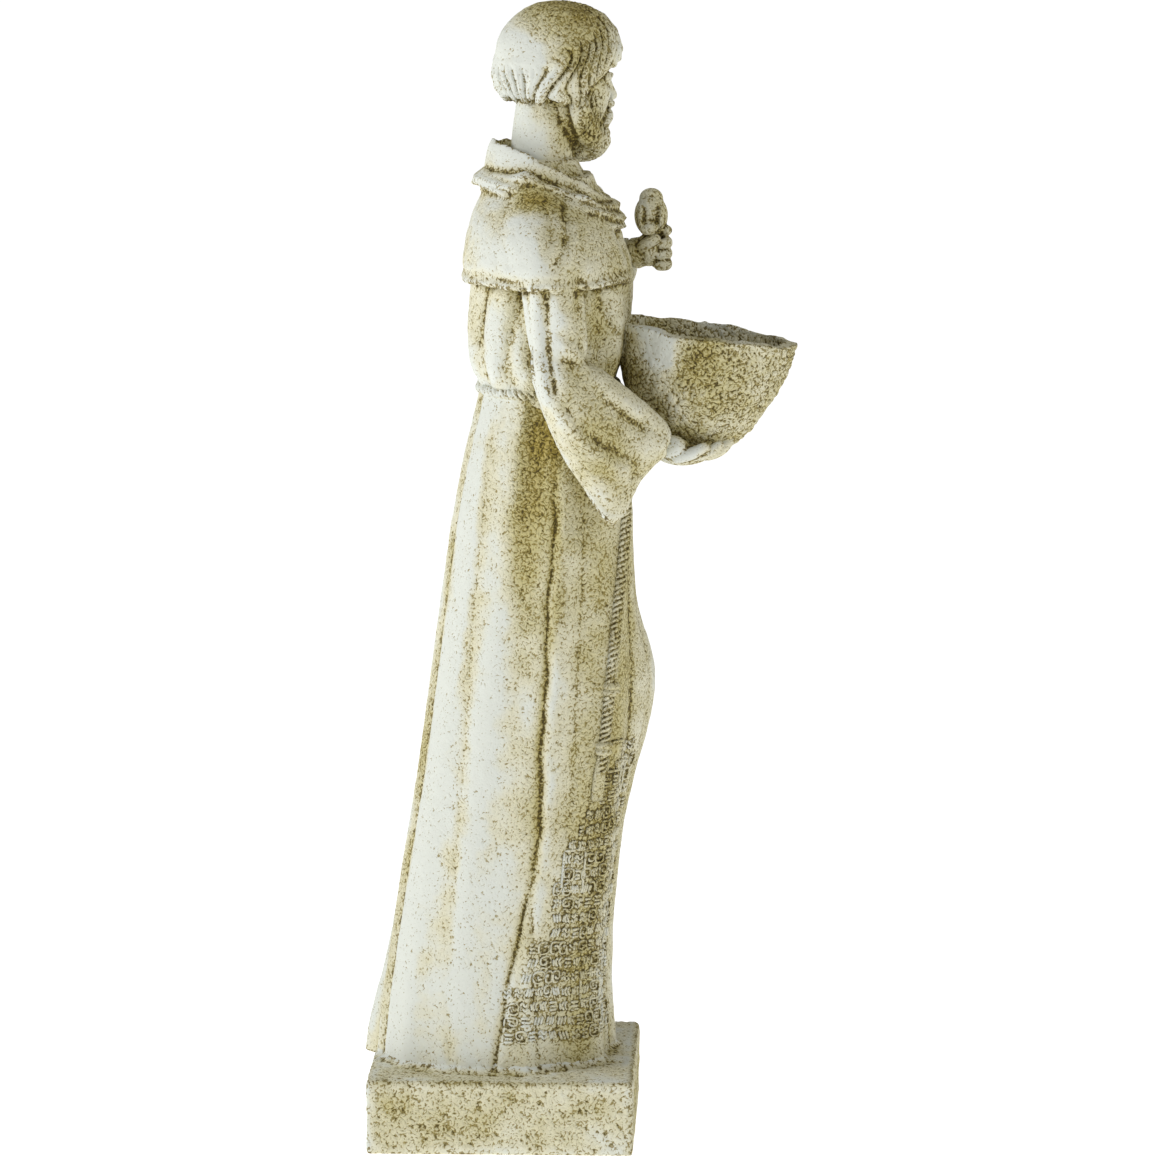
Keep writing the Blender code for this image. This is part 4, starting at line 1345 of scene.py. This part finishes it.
def srgb(code):
    """A hex colour as linear red, green, blue and alpha."""
    parts = [int(code[k : k + 2], 16) / 255 for k in (0, 2, 4)]
    return (*[c / 12.92 if c <= 0.04045 else ((c + 0.055) / 1.055) ** 2.4 for c in parts], 1.0)


def add_node(tree, kind, settings=None, links=None):
    """A node with its settings and links. A key is a socket's name or number, or a setting's name."""
    node = tree.nodes.new(kind)
    for key, value in (settings or {}).items():
        if isinstance(key, str) and hasattr(node, key):
            setattr(node, key, value)
        else:
            node.inputs[key].default_value = value
    for key, output in (links or {}).items():
        tree.links.new(output, node.inputs[key])
    return node


PALE_STONE = "DDD9BE"
DULL_STONE = "CDC38C"
STAINED_STONE = "B39E4A"
COOL_STONE = "DADDD4"
OCHRE = "877528"
DIRT = "3F3417"

# Sizes of the patterns
CRUMB = 1.9 * MM
VEIN = 3.2 * MM
SPECK = 1.2 * MM
CLOUD = 24 * MM
PIT_DEPTH = 2.0 * MM
EASED_STEP = {"interpolation_type": "SMOOTHSTEP"}


def dirt_patterns(tree):
    """Outputs that say how soiled each spot is together with its painted shade, how much dirt and painted
    shade its crumbs catch, how broken up the darkest crumbs are, and the finest grain."""
    place = add_node(tree, "ShaderNodeTexCoord").outputs["Object"]
    grime_and_shade = add_node(tree, "ShaderNodeAttribute", {"attribute_name": "grime_and_shade"}).outputs["Fac"]
    dent = add_node(tree, "ShaderNodeAttribute", {"attribute_name": "dent"}).outputs["Fac"]
    patterns = (
        {"Scale": 1 / CLOUD, "Detail": 4.0},
        {"Scale": 1 / CRUMB, "Detail": 3.0, "Roughness": 0.55, "Distortion": 0.4},
        {"Scale": 1 / SPECK, "Detail": 1.0, "Roughness": 0.5},
        {"noise_type": "RIDGED_MULTIFRACTAL", "Scale": 1 / VEIN, "Detail": 1.0, "Distortion": 0.5},
    )
    noises = [add_node(tree, "ShaderNodeTexNoise", given, {0: place}).outputs[0] for given in patterns]
    cloud, crumb, speck, vein = noises

    # soil_and_shade = grime_and_shade + 0.7 cloud - 0.35, which carries the stored painted shade
    times_add = {"operation": "MULTIPLY_ADD"}
    soil_and_shade = add_node(tree, "ShaderNodeMath", {**times_add, 1: 0.7}, {0: cloud, 2: grime_and_shade}).outputs[0]
    soil_and_shade = add_node(tree, "ShaderNodeMath", {"operation": "SUBTRACT", 1: 0.35}, {0: soil_and_shade}).outputs[0]
    # caught_dirt_and_shade = crumb - 0.7 sqrt(vein) + 0.24 soil_and_shade + 0.45 dent: dirt catches in crumbs
    # strung along fine crawling lines, where the vein pattern is 0; painted shade comes in through
    # soil_and_shade and dent
    away = add_node(tree, "ShaderNodeMath", {"operation": "SQRT"}, {0: vein}).outputs[0]
    caught_dirt_and_shade = add_node(tree, "ShaderNodeMath", {**times_add, 1: -0.7}, {0: away, 2: crumb}).outputs[0]
    caught_dirt_and_shade = add_node(tree, "ShaderNodeMath", {**times_add, 1: 0.24}, {0: soil_and_shade, 2: caught_dirt_and_shade}).outputs[0]
    caught_dirt_and_shade = add_node(tree, "ShaderNodeMath", {**times_add, 1: 0.45}, {0: dent, 2: caught_dirt_and_shade}).outputs[0]
    broken = add_node(tree, "ShaderNodeMath", {**times_add, 1: 0.25}, {0: speck, 2: caught_dirt_and_shade}).outputs[0]
    return soil_and_shade, caught_dirt_and_shade, broken, speck


def lay_coats(tree, soil_and_shade, caught_dirt_and_shade, broken):
    """The colour: coats over the cool stone, one after the other."""
    # Each coat: the value that lays it, from where to where, how strongly, and its colour. The stone coats
    # follow soil_and_shade, so they paint shade as well as stains
    coats = [
        (soil_and_shade, 0.05, 0.35, 1.0, PALE_STONE),
        (soil_and_shade, 0.25, 0.80, 0.95, DULL_STONE),
        (soil_and_shade, 0.70, 1.35, 0.85, STAINED_STONE),
        (caught_dirt_and_shade, 0.53, 0.65, 0.80, OCHRE),
        (broken, 0.83, 0.95, 0.80, DIRT),
    ]
    colour = None
    for value, low, high, strength, code in coats:
        limits = {**EASED_STEP, "From Min": low, "From Max": high, "To Max": strength}
        share = add_node(tree, "ShaderNodeMapRange", limits, {"Value": value}).outputs[0]
        mixed = add_node(tree, "ShaderNodeMix", {"data_type": "RGBA", 7: srgb(code)}, {0: share})
        if colour is None:
            mixed.inputs[6].default_value = srgb(COOL_STONE)
        else:
            tree.links.new(colour, mixed.inputs[6])
        colour = mixed.outputs[2]
    return colour


def crumbly_relief(tree, soil_and_shade, caught_dirt_and_shade, speck):
    """The bumps: crumbs are pits, deeper where soil_and_shade is high, that is where the stone is soiled and
    where shade is painted, over a fine grain.
    """
    limits = {**EASED_STEP, "From Min": 0.0, "From Max": 0.7, "To Min": 0.15, "To Max": 1.0}
    crumbly = add_node(tree, "ShaderNodeMapRange", limits, {"Value": soil_and_shade}).outputs[0]
    relief = add_node(tree, "ShaderNodeMath", {"operation": "MULTIPLY"}, {0: caught_dirt_and_shade, 1: crumbly}).outputs[0]
    fine = {"operation": "MULTIPLY_ADD", 1: 0.1}
    grain = add_node(tree, "ShaderNodeMath", fine, {0: speck, 2: relief}).outputs[0]
    sunk = {"invert": True, "Strength": 1.0, "Distance": PIT_DEPTH}
    return add_node(tree, "ShaderNodeBump", sunk, {"Height": grain}).outputs[0]


def weathered_cast_stone():
    """Cast stone with an antiqued paint finish: a chalky cream coat rubbed back over ochre, which
    stays in every hollow as soft stains and as crumbs of dark brown. Its darker coats also paint
    shade where the stored grime_and_shade carries it. It is dull, never glossy."""
    material = bpy.data.materials.new("weathered_cast_stone")
    material.use_nodes = True
    tree = material.node_tree
    shader = tree.nodes["Principled BSDF"]
    soil_and_shade, caught_dirt_and_shade, broken, speck = dirt_patterns(tree)
    tree.links.new(lay_coats(tree, soil_and_shade, caught_dirt_and_shade, broken), shader.inputs["Base Color"])
    tree.links.new(crumbly_relief(tree, soil_and_shade, caught_dirt_and_shade, speck), shader.inputs["Normal"])
    shader.inputs["Roughness"].default_value = 0.78
    shader.inputs["Specular IOR Level"].default_value = 0.3
    return material


STONE = weathered_cast_stone()
SKY = sky_hidden()


def cast(mesh, spacing, soiled=0.0, stain_and_shade=None, shaded=True, worn=0.8, marks=None):
    """Weathers a mesh and makes it a piece of the casting."""
    weather(mesh, spacing, soiled, stain_and_shade, worn, marks)
    if shaded:
        mesh.shade_smooth()
    mesh.materials.append(STONE)
    piece = add_object(mesh.name, mesh)
    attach(piece, "root")
    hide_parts(NODE)
    return piece


def make_pieces():
    plinth = fused("plinth", [add_plinth, add_ground], PLINTH_GRID, rub=3)
    roughen(plinth, 0.15, 0.4, 0.3, worms=0.35)
    cast(plinth, PLINTH_GRID, -0.02, plinth_stain, worn=1.0)
    strokes = laid("skirt_strokes", [add_strokes])
    cast(strokes, 0.001, 0.0, skirt_stain_and_fold_shade, worn=0.0)
    skirt = laid("skirt", [add_skirt])
    roughen(skirt, 0.10, 0.3, 0.25)
    cast(skirt, 0.0014 * COARSE, 0.0, skirt_stain_and_fold_shade, shaded=False, marks=strokes)
    torso = fused("upper_robe", [add_upper_robe, add_cowl, add_arms, add_bowl_rest], BODY_GRID)
    crease(torso, CREASES)
    roughen(torso, 0.14, 0.35, 0.25, worms=0.12)
    cast(torso, BODY_GRID, 0.03, worn=1.4)
    head = fused("head", [add_head], HEAD_GRID)
    carve_hair(head)
    roughen(head, 0.12, 0.25, 0.2)
    # The head's coat is made paler: partly painted highlight
    cast(head, HEAD_GRID, -0.04, worn=0.5)
    hand = fused("right_hand", [add_right_hand], HAND_GRID)
    roughen(hand, 0.10, 0.15, 0.2)
    cast(hand, HAND_GRID, 0.0)
    hand = fused("left_hand_and_bird", [add_left_hand, add_bird], HAND_GRID, rub=5)
    roughen(hand, 0.10, 0.15, 0.2)
    cast(hand, HAND_GRID, 0.15)
    bowl = fused("bowl", [add_bowl], BOWL_GRID)
    roughen(bowl, 0.15, 0.6, 0.3, cells=(1.4, 0.0064))
    cast(bowl, BOWL_GRID, 0.08, worn=0.8)
    cast(laid("rope_belt", [add_belt]), ROPE_STEP * UNIT, 0.1, shaded=False, worn=0.0)
    cast(laid("rope_fall", [add_cord_fall]), ROPE_STEP * UNIT, 0.25, shaded=False, worn=0.0)


# Floor, light and camera

WHITE = "FFFFFF"
PAPER = "EDEDEC"
PAPER_GLOW = 0.80
SKY_GLOW = 0.30  # the soft light from all round, which the camera sees as pure white
KEY_LIGHT = (-0.88, 2.82, 1.75), 1.0, 47  # place, size in metres and watts: high behind the figure's right
FILL_LIGHT = (-1.7, -2.3, 2.4), 0.9, 21  # from the front
LIT_POINT = Vector((0, -0.03, 0.45))


def white_paper():
    """A flat sheet of matt white paper, lit and glowing so brightly that it gives no edge and hardly any
    shadow.
    """
    material = bpy.data.materials.new("white_paper_sweep")
    material.use_nodes = True
    shader = material.node_tree.nodes["Principled BSDF"]
    shader.inputs["Base Color"].default_value = srgb(PAPER)
    shader.inputs["Roughness"].default_value = 0.9
    shader.inputs["Specular IOR Level"].default_value = 0.0
    shader.inputs["Emission Color"].default_value = srgb(WHITE)
    shader.inputs["Emission Strength"].default_value = PAPER_GLOW
    return material


def make_floor():
    form = bmesh.new()
    bmesh.ops.create_grid(form, x_segments=1, y_segments=1, size=40)
    mesh = bpy.data.meshes.new("floor")
    form.to_mesh(mesh)
    form.free()
    floor = add_object("floor", mesh)
    mesh.materials.append(white_paper())


def add_light(name, place, size, power):
    light = bpy.data.lights.new(name, "AREA")
    light.shape = "DISK"
    light.size = size
    light.energy = power
    lamp = add_object(name, light)
    lamp.location = place
    lamp.rotation_euler = (LIT_POINT - Vector(place)).to_track_quat("-Z", "Y").to_euler()


def make_studio():
    add_light("key", *KEY_LIGHT)
    add_light("fill", *FILL_LIGHT)
    world = bpy.data.worlds.new("studio")
    bpy.context.scene.world = world
    world.use_nodes = True
    tree = world.node_tree
    sky = tree.nodes["Background"]
    sky.inputs["Color"].default_value = srgb(WHITE)
    seen = add_node(tree, "ShaderNodeLightPath").outputs["Is Camera Ray"]
    strength = add_node(tree, "ShaderNodeMapRange", {"To Min": SKY_GLOW, "To Max": 1.0}, {"Value": seen})
    tree.links.new(strength.outputs[0], sky.inputs["Strength"])
    bpy.context.scene.view_settings.view_transform = "Standard"


def make_camera():
    flat = math.cos(CAMERA_RISE)
    aim = Vector((-math.cos(CAMERA_YAW) * flat, -math.sin(CAMERA_YAW) * flat, math.sin(CAMERA_RISE)))
    lens = bpy.data.cameras.new("camera")
    lens.lens = CAMERA_LENS
    lens.sensor_width = SENSOR
    camera = add_object("camera", lens)
    camera.location = CAMERA_TARGET + aim * CAMERA_DISTANCE
    camera.rotation_euler = (-aim).to_track_quat("-Z", "Y").to_euler()
    bpy.context.scene.camera = camera


make_pieces()
make_floor()
make_studio()
make_camera()
